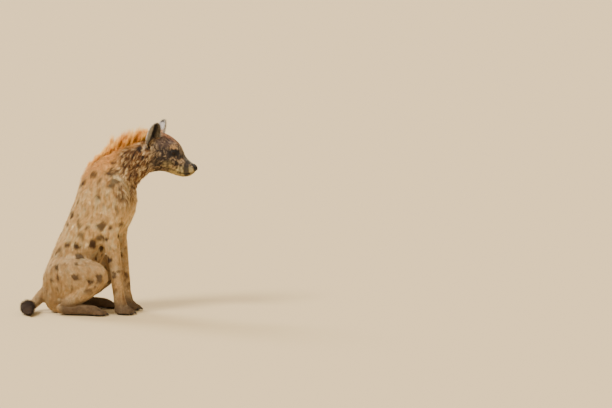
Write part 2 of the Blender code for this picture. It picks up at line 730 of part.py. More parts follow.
def tuft_mesh(rng):
    """The bushy end of the tail."""
    rows = [(x, y, z, half_up * TUFT_CORE, half_side * TUFT_CORE) for x, y, z, half_up, half_side in TUFT]
    core = limb_mesh("tuft", rows, count=9, sides=10, lies=True)
    return on_floor(beyond(combined(core, tuft_locks(rng), "UNION"), TUFT_CUT))


def claw_mesh(root, tip):
    """A blunt claw, bent down towards its end."""
    side = Vector((0, 1, 0))
    up = (tip - root).cross(side).normalized()
    rings = []
    for share, size, lift in ((0, 1, 0), (0.5, 0.8, 0.0022), (0.85, 0.45, 0.0012)):
        radius = CLAW_RADIUS * size
        rings.append(oval(root.lerp(tip, share) + up * lift, side, up, radius * 0.8, radius, 5))
    return rings_mesh("claw", rings, end=tip)


def foot_mesh(forms, toes, triangles):
    """A right foot: its fused forms and toes, with four claws, cut flat under its sole."""
    half, height = toes["half"], toes["height"]
    forms, claws = list(forms), []
    for place in TOE_PLACES:
        reach = toes["reach"][0 if abs(place) > 1 else 1]
        y = toes["y"] + place * half * TOE_PITCH
        middle = Vector(((toes["x"] + reach) / 2 - half, y, height))
        forms.append(ball_mesh("toe", middle, (0.030, half, height), segments=16, rings=10))
        end = Vector((reach - half, y, height * 0.8))
        forms.append(ball_mesh("toe_end", end, (0.015, half * 0.94, height * 0.84), segments=16, rings=10))
        root = Vector((reach - half / 2, y, height * 0.95))
        claws.append(claw_mesh(root, root + Vector((CLAW_LENGTH, 0, -height * 0.65))))
    foot = fused(forms, 0.0034, 3, triangles)
    return on_floor(combined(foot, claws, "UNION"))


def centre_on_floor(collection):
    """Moves every node so that the origin is on the floor, under the middle of the outline."""
    spots = np.array([v.co for obj in collection.objects for v in obj.data.vertices])
    low, high = spots.min(axis=0), spots.max(axis=0)
    middle = (low + high) / 2
    for obj in collection.objects:
        obj.data.transform(Matrix.Translation((-middle[0], -middle[1], -low[2])))


def main():
    for obj in list(bpy.data.objects):
        bpy.data.objects.remove(obj)
    collection = bpy.data.collections.new("spotted_hyena")
    bpy.context.scene.collection.children.link(collection)

    wrist_forms = [limb_mesh("wrist", FORELEG[-5:], count=14), ball_mesh("palm", PALM_AT, PALM_SIZE)]
    forepaw = beyond(foot_mesh(wrist_forms, FORE_TOES, 300), WRIST_CUT)
    hind_foot = foot_mesh([limb_mesh("sole", HIND_FOOT)], HIND_TOES, 290)
    hind_foot = beyond(hind_foot, ANKLE_CUT)

    body = body_mesh()
    head = build_head(collection)
    build_body(body, hind_foot, collection)
    add_pair("forepaw", forepaw, collection)
    add_pair("hind_foot", hind_foot, collection)
    rooms = [swollen(body), swollen(head)]
    ear = combined(ear_mesh(), rooms, "DIFFERENCE")
    add_pair("ear", ear, collection)
    rooms += [swollen(ear), swollen(mirrored(ear))]
    flesh = joined([body, head])
    skin = BVHTree.FromPolygons([v.co for v in flesh.vertices], [p.vertices for p in flesh.polygons])
    add_node("mane", mane_mesh(skin, rooms, random.Random(11)), collection)
    add_node("tail_tuft", tuft_mesh(random.Random(5)), collection)
    centre_on_floor(collection)


main()
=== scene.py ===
import math
from contextlib import contextmanager

import bpy
import numpy as np
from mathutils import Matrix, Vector
from mathutils.bvhtree import BVHTree


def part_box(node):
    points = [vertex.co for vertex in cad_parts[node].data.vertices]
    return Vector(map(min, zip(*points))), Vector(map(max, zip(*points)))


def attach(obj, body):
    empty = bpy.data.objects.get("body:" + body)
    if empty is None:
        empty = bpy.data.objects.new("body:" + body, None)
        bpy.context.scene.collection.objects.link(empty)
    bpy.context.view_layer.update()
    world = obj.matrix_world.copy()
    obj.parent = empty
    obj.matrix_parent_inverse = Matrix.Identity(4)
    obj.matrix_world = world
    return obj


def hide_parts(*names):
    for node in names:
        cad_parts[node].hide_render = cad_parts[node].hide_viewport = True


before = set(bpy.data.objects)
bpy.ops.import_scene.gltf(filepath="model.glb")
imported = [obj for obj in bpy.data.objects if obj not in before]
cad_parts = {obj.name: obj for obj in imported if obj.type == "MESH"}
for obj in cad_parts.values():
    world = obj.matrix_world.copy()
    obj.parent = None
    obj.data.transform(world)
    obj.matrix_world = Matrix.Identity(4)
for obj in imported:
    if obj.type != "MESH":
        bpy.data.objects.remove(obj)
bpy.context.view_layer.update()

# A spotted hyena, sitting upright and looking ahead. Metres, +Z up, the head towards +X.
# Sizes are in the body frame, where Y = 0 is the animal's middle plane and X = 0 lies under the
# withers. SHIFT carries them into the model's frame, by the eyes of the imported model.

EAR_BASE, EAR_TIP = (0.266, -0.068, 0.822), (0.316, -0.108, 0.9575)
EAR_MIDDLE, EAR_HALF_SIZE = (0.290, -0.090, 0.900), (0.050, 0.050, 0.075)
EAR_OPENS = Vector((0.74, -0.67, 0.0)).normalized()
EAR_AXIS = (Vector(EAR_TIP) - Vector(EAR_BASE)).normalized()
EAR_LEAN = (EAR_TIP[0] - EAR_BASE[0]) / (EAR_TIP[2] - EAR_BASE[2])

EYE_AT = Vector((0.3787, -0.0538, 0.8072))
EYE_RADIUS = 0.0160
EYE_LOOK = Vector((0.56, -0.82, 0.08)).normalized()
EYE_SLANT = Vector((0.93, 0.0, -0.36)).normalized()

right_low, right_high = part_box("eye_right")
left_low, left_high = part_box("eye_left")
SHIFT = Vector((
    (right_low.x + right_high.x) / 2 - EYE_AT.x,
    (right_low.y + right_high.y + left_low.y + left_high.y) / 4,
    0.0,
))

FLESH = ["head", "neck", "torso", "tail"] + [
    part + side
    for part in ("ear", "shoulder", "forearm", "forepaw", "thigh", "shank", "hind_foot")
    for side in ("_right", "_left")
]

# The tail goes on inside its tuft: (x, y, z), radius.
TAIL_CORE = (
    ((-0.341, -0.050, 0.034), 0.020),
    ((-0.345, -0.068, 0.034), 0.020),
    ((-0.346, -0.088, 0.034), 0.019),
    ((-0.345, -0.108, 0.034), 0.018),
    ((-0.343, -0.128, 0.034), 0.016),
    ((-0.339, -0.148, 0.033), 0.013),
)

# The line of the mouth, from the front of the lips back to its corner, as (x, z).
MOUTH = (
    (0.505, 0.711),
    (0.474, 0.709),
    (0.450, 0.706),
    (0.426, 0.709),
    (0.402, 0.719),
    (0.380, 0.733),
)

LIP_RISE = 0.0050

# Depth and width of the grooves between the lips, in the middle of the upper lip and between the
# toes, and the same of the ridge that runs this far over the lips' line.
LIP_GROOVE, LIP_PARTING, TOE_GAP = (0.0032, 0.0022), (0.0026, 0.0016), (0.0052, 0.0030)
LIP_RIDGE, LIP_RIDGE_UP = (0.0011, 0.0030), 0.0055

# The grain of the meshes, the share of faces that the body and head keep, the start of the head
# as (x, z), the sharpest angle that is shaded smooth, and how far skin and hairs stay over the
# floor.
SKIN_VOXEL, NOSE_VOXEL = 0.0022, 0.0007
BODY_KEPT, HEAD_KEPT = 0.10, 0.62
HEAD_FROM, HEAD_WITHIN = (0.225, 0.67), (0.235, 0.68)
CREASE = math.radians(50)
SKIN_OVER_FLOOR, HAIR_OVER_FLOOR, TUFT_OVER_FLOOR = 0.0004, 0.0006, 0.0012

# Folds of the face: a line as (x, z), its depth and its width. A negative depth is a ridge.
FACE_FOLDS = (
    (((0.350, 0.797), (0.366, 0.786), (0.388, 0.782), (0.408, 0.785)), 0.0022, 0.0042),
    (((0.432, 0.786), (0.424, 0.762), (0.408, 0.742), (0.392, 0.730)), 0.0020, 0.0070),
    (((0.372, 0.756), (0.362, 0.742), (0.362, 0.724)), 0.0020, 0.0048),
    (((0.352, 0.826), (0.368, 0.836), (0.390, 0.837), (0.408, 0.826)), -0.0016, 0.0070),
    (((0.405, 0.812), (0.420, 0.798), (0.440, 0.782)), 0.0016, 0.0050),
)

# How the coat grows on each part of the body: the place on the right side (x, y, z), the way
# that it lies (x, y, z), the hairs' length and width in millimetres and their lift from the
# skin in degrees.
COAT = {
    "tail": (
        (-0.285, 0.000, 0.100, -0.75, 0.00, -0.65, 17.0, 1.2, 17),
        (-0.322, -0.015, 0.055, -0.50, -0.70, -0.40, 19.0, 1.2, 17),
        (-0.344, -0.055, 0.034, -0.15, -1.00, 0.00, 24.0, 1.3, 16),
        (-0.346, -0.100, 0.034, 0.00, -1.00, 0.00, 30.0, 1.5, 14),
        (-0.339, -0.148, 0.033, 0.15, -1.00, 0.00, 34.0, 1.5, 12),
    ),
    "face": (
        (0.470, -0.006, 0.757, -1.00, -0.05, 0.50, 5.0, 0.9, 9),
        (0.448, -0.012, 0.772, -1.00, -0.10, 0.50, 6.0, 1.0, 9),
        (0.466, -0.040, 0.728, -1.00, -0.20, 0.05, 6.0, 1.0, 10),
        (0.440, -0.052, 0.735, -1.00, -0.15, -0.10, 7.5, 1.1, 11),
        (0.462, -0.030, 0.698, -0.85, -0.10, -0.50, 8.0, 1.1, 13),
        (0.445, 0.000, 0.686, -1.00, 0.00, -0.10, 9.0, 1.2, 14),
        (0.420, -0.052, 0.710, -1.00, -0.10, -0.20, 9.0, 1.2, 12),
        (0.418, -0.050, 0.770, -0.95, -0.25, -0.20, 7.0, 1.1, 10),
        (0.395, -0.072, 0.772, -0.95, -0.30, -0.40, 9.0, 1.2, 12),
        (0.424, 0.000, 0.812, -0.60, 0.00, 0.80, 6.5, 1.1, 10),
        (0.408, -0.030, 0.840, -0.70, -0.20, 0.65, 7.0, 1.1, 10),
        (0.380, -0.062, 0.838, -0.90, -0.25, 0.35, 8.0, 1.2, 12),
        (0.352, -0.088, 0.815, -1.00, -0.20, 0.05, 9.0, 1.3, 13),
        (0.375, 0.000, 0.880, -0.85, 0.00, 0.45, 9.0, 1.2, 11),
    ),
    "crown": (
        (0.335, 0.000, 0.903, -1.00, 0.00, 0.05, 12.0, 1.4, 14),
        (0.330, -0.055, 0.885, -1.00, -0.25, 0.00, 11.0, 1.4, 14),
        (0.290, -0.020, 0.905, -1.00, 0.00, -0.10, 16.0, 1.6, 20),
    ),
    "cheek": (
        (0.375, -0.088, 0.750, -0.95, -0.20, -0.45, 12.0, 1.4, 14),
        (0.340, -0.098, 0.760, -0.90, -0.15, -0.50, 15.0, 1.6, 17),
        (0.305, -0.100, 0.790, -0.80, -0.10, -0.60, 17.0, 1.7, 18),
        (0.300, -0.092, 0.745, -0.75, -0.10, -0.70, 19.0, 1.8, 20),
        (0.385, -0.040, 0.694, -1.00, 0.00, -0.20, 13.0, 1.5, 16),
        (0.340, -0.035, 0.705, -0.95, 0.00, -0.35, 17.0, 1.7, 18),
    ),
    "ear": (
        (0.262, -0.070, 0.840, 0.20, -0.20, 1.00, 9.0, 1.0, 11),
        (0.282, -0.085, 0.880, 0.25, -0.25, 1.00, 8.0, 1.0, 10),
        (0.300, -0.098, 0.925, 0.35, -0.30, 1.00, 7.0, 0.9, 10),
    ),
    "neck": (
        (0.250, -0.045, 0.870, -0.80, -0.20, -0.45, 22.0, 1.52, 24),
        (0.245, -0.088, 0.800, -0.60, -0.10, -0.80, 24.0, 1.6, 22),
        (0.250, -0.070, 0.730, -0.60, -0.10, -0.80, 24.0, 1.6, 22),
        (0.180, -0.040, 0.860, -0.70, -0.25, -0.50, 26.0, 1.6, 26),
        (0.170, -0.086, 0.790, -0.45, -0.10, -0.90, 28.0, 1.68, 22),
        (0.190, -0.080, 0.715, -0.35, -0.05, -0.95, 28.0, 1.68, 21),
        (0.100, -0.045, 0.825, -0.65, -0.30, -0.60, 28.0, 1.68, 26),
        (0.110, -0.092, 0.745, -0.40, -0.10, -0.90, 29.0, 1.76, 21),
        (0.290, 0.000, 0.706, -0.90, 0.00, -0.45, 22.0, 1.6, 20),
        (0.250, 0.000, 0.690, -0.80, 0.00, -0.70, 26.0, 1.68, 20),
    ),
    "chest": (
        (0.215, 0.000, 0.640, -0.30, 0.00, -1.00, 28.0, 1.76, 20),
        (0.200, -0.055, 0.600, -0.20, -0.10, -1.00, 28.0, 1.76, 20),
        (0.190, 0.000, 0.560, -0.10, 0.00, -1.00, 27.0, 1.76, 19),
        (0.165, 0.000, 0.480, -0.35, 0.00, -0.95, 24.0, 1.76, 18),
        (0.160, -0.060, 0.520, -0.20, 0.00, -1.00, 24.0, 1.76, 18),
        (0.110, 0.000, 0.400, -0.50, 0.00, -0.85, 20.0, 1.6, 17),
        (0.045, 0.000, 0.310, -0.40, 0.00, -0.90, 18.0, 1.6, 16),
        (0.000, 0.000, 0.200, -0.20, 0.00, -1.00, 18.0, 1.6, 16),
    ),
    "back": (
        (-0.005, -0.030, 0.770, -0.75, -0.30, -0.60, 29.0, 1.36, 24),
        (-0.060, -0.020, 0.730, -0.65, -0.15, -0.75, 29.0, 1.43, 21),
        (-0.100, -0.030, 0.650, -0.35, -0.15, -0.95, 28.0, 1.43, 19),
        (-0.118, -0.040, 0.570, -0.25, -0.15, -0.95, 27.0, 1.49, 18),
        (-0.160, -0.040, 0.470, -0.35, -0.15, -0.93, 26.0, 1.49, 18),
        (-0.205, -0.040, 0.370, -0.40, -0.12, -0.90, 25.0, 1.49, 18),
        (-0.250, -0.040, 0.260, -0.30, -0.10, -0.95, 24.0, 1.49, 17),
        (-0.285, -0.050, 0.150, -0.10, -0.05, -1.00, 22.0, 1.36, 17),
        (-0.280, -0.070, 0.070, 0.00, 0.00, -1.00, 18.0, 1.24, 16),
    ),
    "flank": (
        (0.030, -0.105, 0.700, -0.30, -0.10, -0.95, 27.0, 1.36, 19),
        (-0.030, -0.105, 0.680, -0.35, -0.15, -0.95, 27.0, 1.43, 19),
        (-0.040, -0.125, 0.580, -0.30, -0.05, -0.95, 26.0, 1.49, 18),
        (-0.060, -0.132, 0.480, -0.30, 0.00, -0.95, 25.0, 1.49, 17),
        (-0.090, -0.134, 0.380, -0.30, 0.00, -0.95, 24.0, 1.49, 17),
        (-0.130, -0.134, 0.300, -0.20, 0.00, -1.00, 23.0, 1.43, 17),
        (0.030, -0.110, 0.360, -0.40, 0.00, -0.90, 20.0, 1.36, 16),
    ),
    "foreleg": (
        (0.070, -0.130, 0.640, -0.10, -0.10, -1.00, 23.0, 1.36, 18),
        (0.140, -0.120, 0.620, 0.10, 0.00, -1.00, 23.0, 1.36, 18),
        (0.100, -0.145, 0.550, -0.05, 0.00, -1.00, 21.0, 1.3, 17),
        (0.090, -0.148, 0.480, -0.05, 0.00, -1.00, 19.0, 1.24, 17),
        (0.150, -0.105, 0.520, 0.00, 0.00, -1.00, 20.0, 1.24, 17),
        (0.025, -0.108, 0.450, -0.30, 0.00, -0.95, 20.0, 1.24, 17),
    ),
    "forearm": (
        (0.075, -0.110, 0.400, -0.05, 0.00, -1.00, 15.0, 1.8, 15),
        (0.085, -0.100, 0.320, 0.00, 0.00, -1.00, 12.5, 1.7, 14),
        (0.100, -0.094, 0.230, 0.00, 0.00, -1.00, 11.0, 1.6, 14),
        (0.108, -0.090, 0.150, 0.05, 0.00, -1.00, 10.0, 1.5, 14),
        (0.118, -0.087, 0.085, 0.25, 0.00, -1.00, 8.5, 1.4, 14),
        (0.150, -0.086, 0.045, 0.90, 0.00, -0.45, 7.5, 1.3, 13),
        (0.178, -0.086, 0.022, 1.00, 0.00, -0.35, 6.0, 1.1, 12),
    ),
    "thigh": (
        (-0.230, -0.110, 0.230, 0.10, -0.10, -1.00, 22.0, 1.36, 17),
        (-0.150, -0.165, 0.200, 0.50, -0.05, -0.85, 21.0, 1.3, 17),
        (-0.080, -0.150, 0.270, 0.60, -0.30, -0.55, 20.0, 1.3, 17),
        (-0.060, -0.195, 0.200, 0.65, 0.00, -0.75, 19.0, 1.24, 16),
        (0.010, -0.170, 0.250, 0.80, -0.10, -0.60, 16.0, 1.18, 15),
        (0.020, -0.198, 0.205, 0.55, 0.00, -0.85, 15.0, 1.12, 15),
        (-0.060, -0.100, 0.180, 0.40, 0.00, -0.90, 16.0, 1.18, 15),
        (-0.230, -0.120, 0.110, 0.10, 0.00, -1.00, 19.0, 1.24, 16),
    ),
    "hindleg": (
        (0.065, -0.153, 0.190, 0.05, 0.00, -1.00, 12.5, 1.7, 14),
        (0.000, -0.190, 0.150, -0.50, 0.00, -0.85, 13.0, 1.7, 14),
        (-0.060, -0.185, 0.110, -0.65, 0.00, -0.75, 12.0, 1.6, 14),
        (-0.120, -0.172, 0.080, -0.80, 0.00, -0.60, 10.0, 1.5, 14),
        (0.020, -0.120, 0.130, -0.40, 0.00, -0.90, 11.0, 1.6, 14),
        (-0.180, -0.144, 0.040, -0.50, 0.00, -0.85, 8.5, 1.4, 14),
        (-0.120, -0.148, 0.045, 0.80, 0.00, -0.50, 8.0, 1.4, 13),
        (-0.050, -0.148, 0.045, 0.95, 0.00, -0.35, 7.5, 1.3, 13),
        (0.020, -0.149, 0.038, 0.95, 0.00, -0.45, 6.5, 1.2, 13),
        (0.046, -0.149, 0.020, 1.00, 0.00, -0.35, 6.0, 1.1, 12),
    ),
}

# The axis that each part of the coat is unwrapped about: a point and a direction.
UNWRAP_AXES = {
    "face": ((0.40, 0.0, 0.765), (1.0, 0.0, -0.2)),
    "crown": ((0.30, 0.0, 0.80), (1.0, 0.0, 0.0)),
    "cheek": ((0.33, 0.0, 0.78), (1.0, 0.0, 0.0)),
    "ear": ((0.275, 0.0, 0.88), (0.30, 0.0, 1.0)),
    "neck": ((0.18, 0.0, 0.77), (0.85, 0.0, 0.5)),
    "chest": ((0.08, 0.0, 0.48), (0.35, 0.0, 1.0)),
    "back": ((-0.08, 0.0, 0.42), (0.4, 0.0, 1.0)),
    "flank": ((-0.02, 0.0, 0.50), (0.3, 0.0, 1.0)),
    "foreleg": ((0.09, 0.100, 0.55), (0.05, 0.0, 1.0)),
    "forearm": ((0.10, 0.094, 0.20), (0.10, 0.0, 1.0)),
    "thigh": ((-0.08, 0.11, 0.19), (1.0, 0.0, 0.1)),
    "hindleg": ((-0.04, 0.148, 0.09), (1.0, 0.0, 0.6)),
    "tail": ((-0.33, -0.06, 0.04), (0.2, 1.0, 0.2)),
}

# Patches of the markings, and of painted shade behind the ear and on the nape: the middle, the half
# sizes and, where it isn't 0.3, the softness of the edge. All but the blotches lie on both sides
# alike.
PATCHES = {
    "painted shade behind the ear": ((0.232, 0.08, 0.812), (0.040, 0.05, 0.036), 0.5),
    "painted shade on the nape": ((0.165, 0.07, 0.822), (0.060, 0.06, 0.026), 0.5),
    "neck blotch": ((0.093, -0.095, 0.765), (0.016, 0.05, 0.010)),
    "back blotch": ((-0.071, -0.090, 0.699), (0.010, 0.06, 0.012)),
    "shoulder blotch": ((0.058, -0.100, 0.716), (0.022, 0.05, 0.007)),
    "cheek": ((0.330, 0.080, 0.785), (0.048, 0.05, 0.050), 0.5),
    "temple": ((0.345, 0.07, 0.868), (0.055, 0.06, 0.034)),
    "forehead": ((0.375, 0.0, 0.885), (0.080, 0.038, 0.050), 0.55),
    "lips": ((0.430, 0.04, 0.698), (0.080, 0.06, 0.042)),
    "jaw": ((0.365, 0.09, 0.745), (0.030, 0.03, 0.030)),
    "muzzle": ((0.470, 0.0, 0.770), (0.062, 0.030, 0.036)),
    "front lip band": ((0.450, 0.050, 0.728), (0.0145, 0.04, 0.050)),
    "rear lip band": ((0.421, 0.055, 0.716), (0.0055, 0.04, 0.026)),
    "muzzle grey": ((0.462, 0.0, 0.770), (0.046, 0.024, 0.028)),
    "lip parting": ((0.492, 0.0, 0.717), (0.020, 0.0024, 0.008)),
    "nose": ((0.489, 0.0, 0.734), (0.0225, 0.0300, 0.0225), 0.12),
    "brow": ((0.388, 0.060, 0.838), (0.026, 0.03, 0.010), 0.5),
    "eye": ((0.389, 0.056, 0.808), (0.030, 0.03, 0.0165), 0.22),
    "tear": ((0.418, 0.040, 0.792), (0.012, 0.03, 0.014)),
    "ear": ((0.285, 0.090, 0.905), (0.060, 0.05, 0.080), 0.12),
    "ear root": ((0.312, 0.068, 0.895), (0.020, 0.025, 0.016)),
}

# The crest of the mane: x, the skin's z and the height of the hairs over it.
MANE = (
    (0.256, 0.884, 0.030),
    (0.205, 0.872, 0.046),
    (0.160, 0.857, 0.056),
    (0.115, 0.839, 0.062),
    (0.070, 0.820, 0.056),
    (0.030, 0.802, 0.046),
    (-0.015, 0.775, 0.034),
    (-0.058, 0.735, 0.016),
)

# Hairs of the mane on a square metre of skin, the clumps that they fall into, and how far to
# each side of the crest they grow.
MANE_HAIRS, MANE_CLUMPS, MANE_HALF_WIDTH = 560000, 170, 0.040

# Hairs on a square metre of an ear: on its rim, and in the front and the low part of its hollow.
RIM_HAIRS, FRONT_HAIRS, LOW_HAIRS = 420000, 520000, 420000

# The tail's tuft, out to its hairs: its middle line and its half height and half width there.
TUFT = (
    (-0.336, -0.040, 0.036, 0.029, 0.029),
    (-0.345, -0.075, 0.036, 0.036, 0.038),
    (-0.345, -0.115, 0.036, 0.040, 0.044),
    (-0.338, -0.155, 0.034, 0.038, 0.042),
    (-0.328, -0.186, 0.030, 0.031, 0.033),
    (-0.318, -0.210, 0.024, 0.021, 0.022),
    (-0.308, -0.230, 0.018, 0.009, 0.010),
)

# Hairs of the tuft, and how far along its middle line they reach.
TUFT_HAIRS, TUFT_END = 4200, 1.22

# How often the coat's tufts overlap, the parts where they bend along their length, the slot of
# each part that has its own, and a tuft's size on the baked map.
OVERLAP = 4.0
LONG_HAIRED = ("crown", "cheek", "neck", "chest")
COAT_SLOTS = {"face": "face_fur", "crown": "face_fur", "cheek": "face_fur", "ear": "ear_fur"}
BAKE_PATCH = 0.003

FEWER, WIDER = ((1.0, 1.0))

# The corner of the lids and the middle of each lid's edge, from the line of sight.
LID_CORNER, UPPER_LID, LOWER_LID, LID_THICKNESS = 0.0126, 0.0042, -0.0058, 0.0011
CORNEA_RISE = 0.0009

# The right nostril, its slit, its raised rim and the groove between the two nostrils.
NOSTRIL_AT, NOSTRIL_HALF_SIZE = (0.4965, -0.0108, 0.7312), (0.0080, 0.0036, 0.0038)
NOSTRIL_DEPTH, SLIT_DEPTH, RIM_RISE, NOSE_GROOVE_DEPTH = 0.0062, 0.0028, 0.0006, 0.0011

# Pebbles in a metre of bare skin.
PEBBLES = 1500.0

# The sides of the body: the sign of Y there, and the name.
SIDES = ((-1, "right"), (1, "left"))

# The toes of the right feet, and the claws on them. A claw's step is its reach, narrowing and dip.
FORE_TOES = {"y": -0.086, "reach": (0.176, 0.190), "half": 0.0122, "height": 0.0175}
HIND_TOES = {"y": -0.149, "reach": (0.048, 0.060), "half": 0.0106, "height": 0.0155}
TOE_PLACES = (-1.5, -0.5, 0.5, 1.5)
TOE_PITCH = 1.74
CLAW_LENGTH, CLAW_RADIUS, CLAW_FLATNESS = 0.0190, 0.0043, 0.78
CLAW_STEPS = (
    (0.18, 0.98, -0.030),
    (0.20, 0.92, -0.020),
    (0.20, 0.86, 0.000),
    (0.18, 0.76, 0.020),
    (0.14, 0.62, 0.030),
    (0.08, 0.40, 0.030),
)


def srgb(red, green, blue):
    """The linear colour of a screen colour given from 0 to 255."""
    linear = [((c / 255 + 0.055) / 1.055) ** 2.4 for c in (red, green, blue)]
    return (*linear, 1.0)


SAND = srgb(247, 210, 152)
SAND_PALE = srgb(255, 234, 188)
SAND_BROWN = srgb(188, 144, 96)
GINGER = srgb(243, 172, 86)
SPOT = srgb(70, 44, 27)
LEG = srgb(194, 158, 114)
FOOT = srgb(98, 75, 55)
NECK_BROWN = srgb(160, 114, 70)
NECK_DARK = srgb(46, 31, 23)
NECK_PALE = srgb(250, 222, 172)
HEAD_DARK = srgb(50, 38, 33)
HEAD_PALE = srgb(218, 184, 140)
TEMPLE = srgb(86, 66, 60)
FOREHEAD = srgb(176, 108, 64)
MUZZLE = srgb(50, 42, 38)
MUZZLE_GREY = srgb(128, 122, 108)
LIP_CREAM = srgb(226, 202, 138)
EYE_PATCH = srgb(25, 19, 16)
BROW_PALE = srgb(206, 160, 108)
EAR_BACK = srgb(156, 122, 88)
EAR_LIGHT = srgb(212, 203, 200)
EAR_DARK = srgb(30, 24, 21)
EAR_GREY = srgb(116, 104, 84)
EAR_RIM = srgb(218, 210, 198)
TAIL_BLACK = srgb(30, 23, 19)
TAIL_BROWN = srgb(92, 66, 46)
BARE_BLACK = srgb(18, 15, 14)
NOSE_GREY = srgb(32, 28, 26)
MANE_DARK = srgb(218, 138, 48)
MANE_LIGHT = srgb(255, 206, 106)
IRIS = srgb(42, 25, 14)
IRIS_EDGE = srgb(24, 15, 10)
EYE_WHITE = srgb(40, 28, 23)
CLAW_DARK = srgb(32, 26, 22)
CLAW_PALE = srgb(78, 64, 50)
FLOOR_SAND = srgb(206, 184, 144)
SKY_CREAM = srgb(255, 236, 204)


# Small helpers for modelling.

def deselect_all():
    """Nothing is selected and no object is active."""
    if bpy.context.object and bpy.context.object.mode != "OBJECT":
        bpy.ops.object.mode_set(mode="OBJECT")
    bpy.ops.object.select_all(action="DESELECT")


def make_active(piece):
    """Only this piece is selected, and it is the active one."""
    deselect_all()
    piece.select_set(True)
    bpy.context.view_layer.objects.active = piece


def apply_modifier(piece, kind, **settings):
    """Adds a modifier with these settings to the piece and applies it."""
    make_active(piece)
    modifier = piece.modifiers.new(kind.lower(), kind)
    for key, value in settings.items():
        setattr(modifier, key, value)
    bpy.ops.object.modifier_apply(modifier=modifier.name)


@contextmanager
def editing(piece):
    """What is done in here is done in edit mode, with all of the piece selected."""
    make_active(piece)
    bpy.ops.object.mode_set(mode="EDIT")
    bpy.ops.mesh.select_all(action="SELECT")
    yield
    bpy.ops.object.mode_set(mode="OBJECT")


def joined(pieces, name):
    """All the pieces as one under this name."""
    make_active(pieces[0])
    for piece in pieces:
        piece.select_set(True)
    bpy.ops.object.join()
    pieces[0].name = name
    return pieces[0]


def add_ball(centre, radius, segments, rings):
    """A ball as a start for a rounded piece."""
    deselect_all()
    bpy.ops.mesh.primitive_uv_sphere_add(
        segments=segments, ring_count=rings, radius=radius, location=centre
    )
    return bpy.context.object


def copy_of_nodes(names, title):
    """One new piece with the merged meshes of these solids."""
    copies = []
    for name in names:
        copy = bpy.data.objects.new(title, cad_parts[name].data.copy())
        bpy.context.scene.collection.objects.link(copy)
        copies.append(copy)
    piece = joined(copies, title)
    with editing(piece):
        bpy.ops.mesh.remove_doubles(threshold=0.00001)
    return piece


def points_of(piece, field="co"):
    """The places of the piece's vertices as an array, or another of their fields."""
    flat = np.empty(len(piece.data.vertices) * 3, np.float32)
    piece.data.vertices.foreach_get(field, flat)
    return flat.reshape(-1, 3).astype(float)


def normals_of(piece):
    """The normals of the piece's vertices as an array."""
    return points_of(piece, "normal")


def move_points(piece, points):
    """Puts the piece's vertices at these places."""
    piece.data.vertices.foreach_set("co", points.astype(np.float32).ravel())
    piece.data.update()


def finish_piece(piece, slot, material, *nodes):
    """Gives the piece its material, and lets it ride and replace its solids. The slot is not used."""
    piece.data.materials.clear()
    piece.data.materials.append(material)
    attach(piece, "root")
    if nodes:
        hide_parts(*nodes)


def unit(vectors):
    """The vectors with length one."""
    return vectors / np.maximum(np.linalg.norm(vectors, axis=-1, keepdims=True), 1e-9)


def smoothstep(low, high, values):
    """Rises softly from 0 at low to 1 at high."""
    share = np.clip((values - low) / (high - low), 0, 1)
    return share * share * (3 - 2 * share)


def hump(distance, width):
    """1 at no distance from a groove's or ridge's middle, falling softly to 0 over its width."""
    return np.exp(-((distance / width) ** 2))


def soft_noise(points, size, seed):
    """A smooth wavering number from about -1 to 1 at each point, with features of this size."""
    draw = np.random.default_rng(seed)
    total = np.zeros(len(points))
    for _ in range(14):
        wave = draw.normal(size=3) * (1.6 / size)
        total += np.sin(points @ wave + draw.uniform(0, 2 * math.pi))
    return total / 3.2


# The coat's growth, blended between its samples.

SHIFT_ARRAY = np.array(SHIFT)


def coat_samples():
    """The samples of both sides: parts, places, ways, then lengths, widths and lifts."""
    parts, rows = [], []
    for part, samples in COAT.items():
        for sample in samples:
            one_sided = part == "tail" or sample[1] == 0
            for side in (1,) if one_sided else (1, -1):
                parts.append(part)
                rows.append(np.array(sample) * (1, side, 1, 1, side, 1, 1, 1, 1))
    rows = np.array(rows)
    sizes = np.column_stack((rows[:, 6] / 1000, rows[:, 7] / 1000, np.radians(rows[:, 8])))
    return np.array(parts), rows[:, :3], unit(rows[:, 3:6]), sizes


PARTS, PLACES, WAYS, SIZES = coat_samples()


def growth(points):
    """The coat at each point of the model: its way, its sizes and the nearest sample's index."""
    ways = np.empty((len(points), 3))
    sizes = np.empty((len(points), 3))
    nearest = np.empty(len(points), int)
    for start in range(0, len(points), 20000):
        chunk = slice(start, start + 20000)
        local = points[chunk] - SHIFT_ARRAY
        gaps = ((local[:, None, :] - PLACES[None]) ** 2).sum(2)
        weights = 1 / (gaps + 0.006 ** 2) ** 2
        weights /= weights.sum(1, keepdims=True)
        ways[chunk] = weights @ WAYS
        sizes[chunk] = weights @ SIZES
        nearest[chunk] = gaps.argmin(1)
    return unit(ways), sizes, nearest


# The skin.

def on_right(local, vectors=None):
    """The points, or vectors at them, with those on the left mirrored to the right side."""
    turned = (local if vectors is None else vectors).copy()
    turned[:, 1] *= np.where(local[:, 1] > 0, -1, 1)
    return turned


def ahead_in_ear(right):
    """How far ahead of the ear's middle line each point on the right side lies."""
    return right[:, 0] - (EAR_BASE[0] + (right[:, 2] - EAR_BASE[2]) * EAR_LEAN)


def mouth_level(local):
    """The points with the lips' rise under the nose taken out of their height."""
    level = local.copy()
    front = smoothstep(0.466, 0.484, local[:, 0])
    level[:, 2] -= LIP_RISE * hump(local[:, 1], 0.0085) * front
    return level


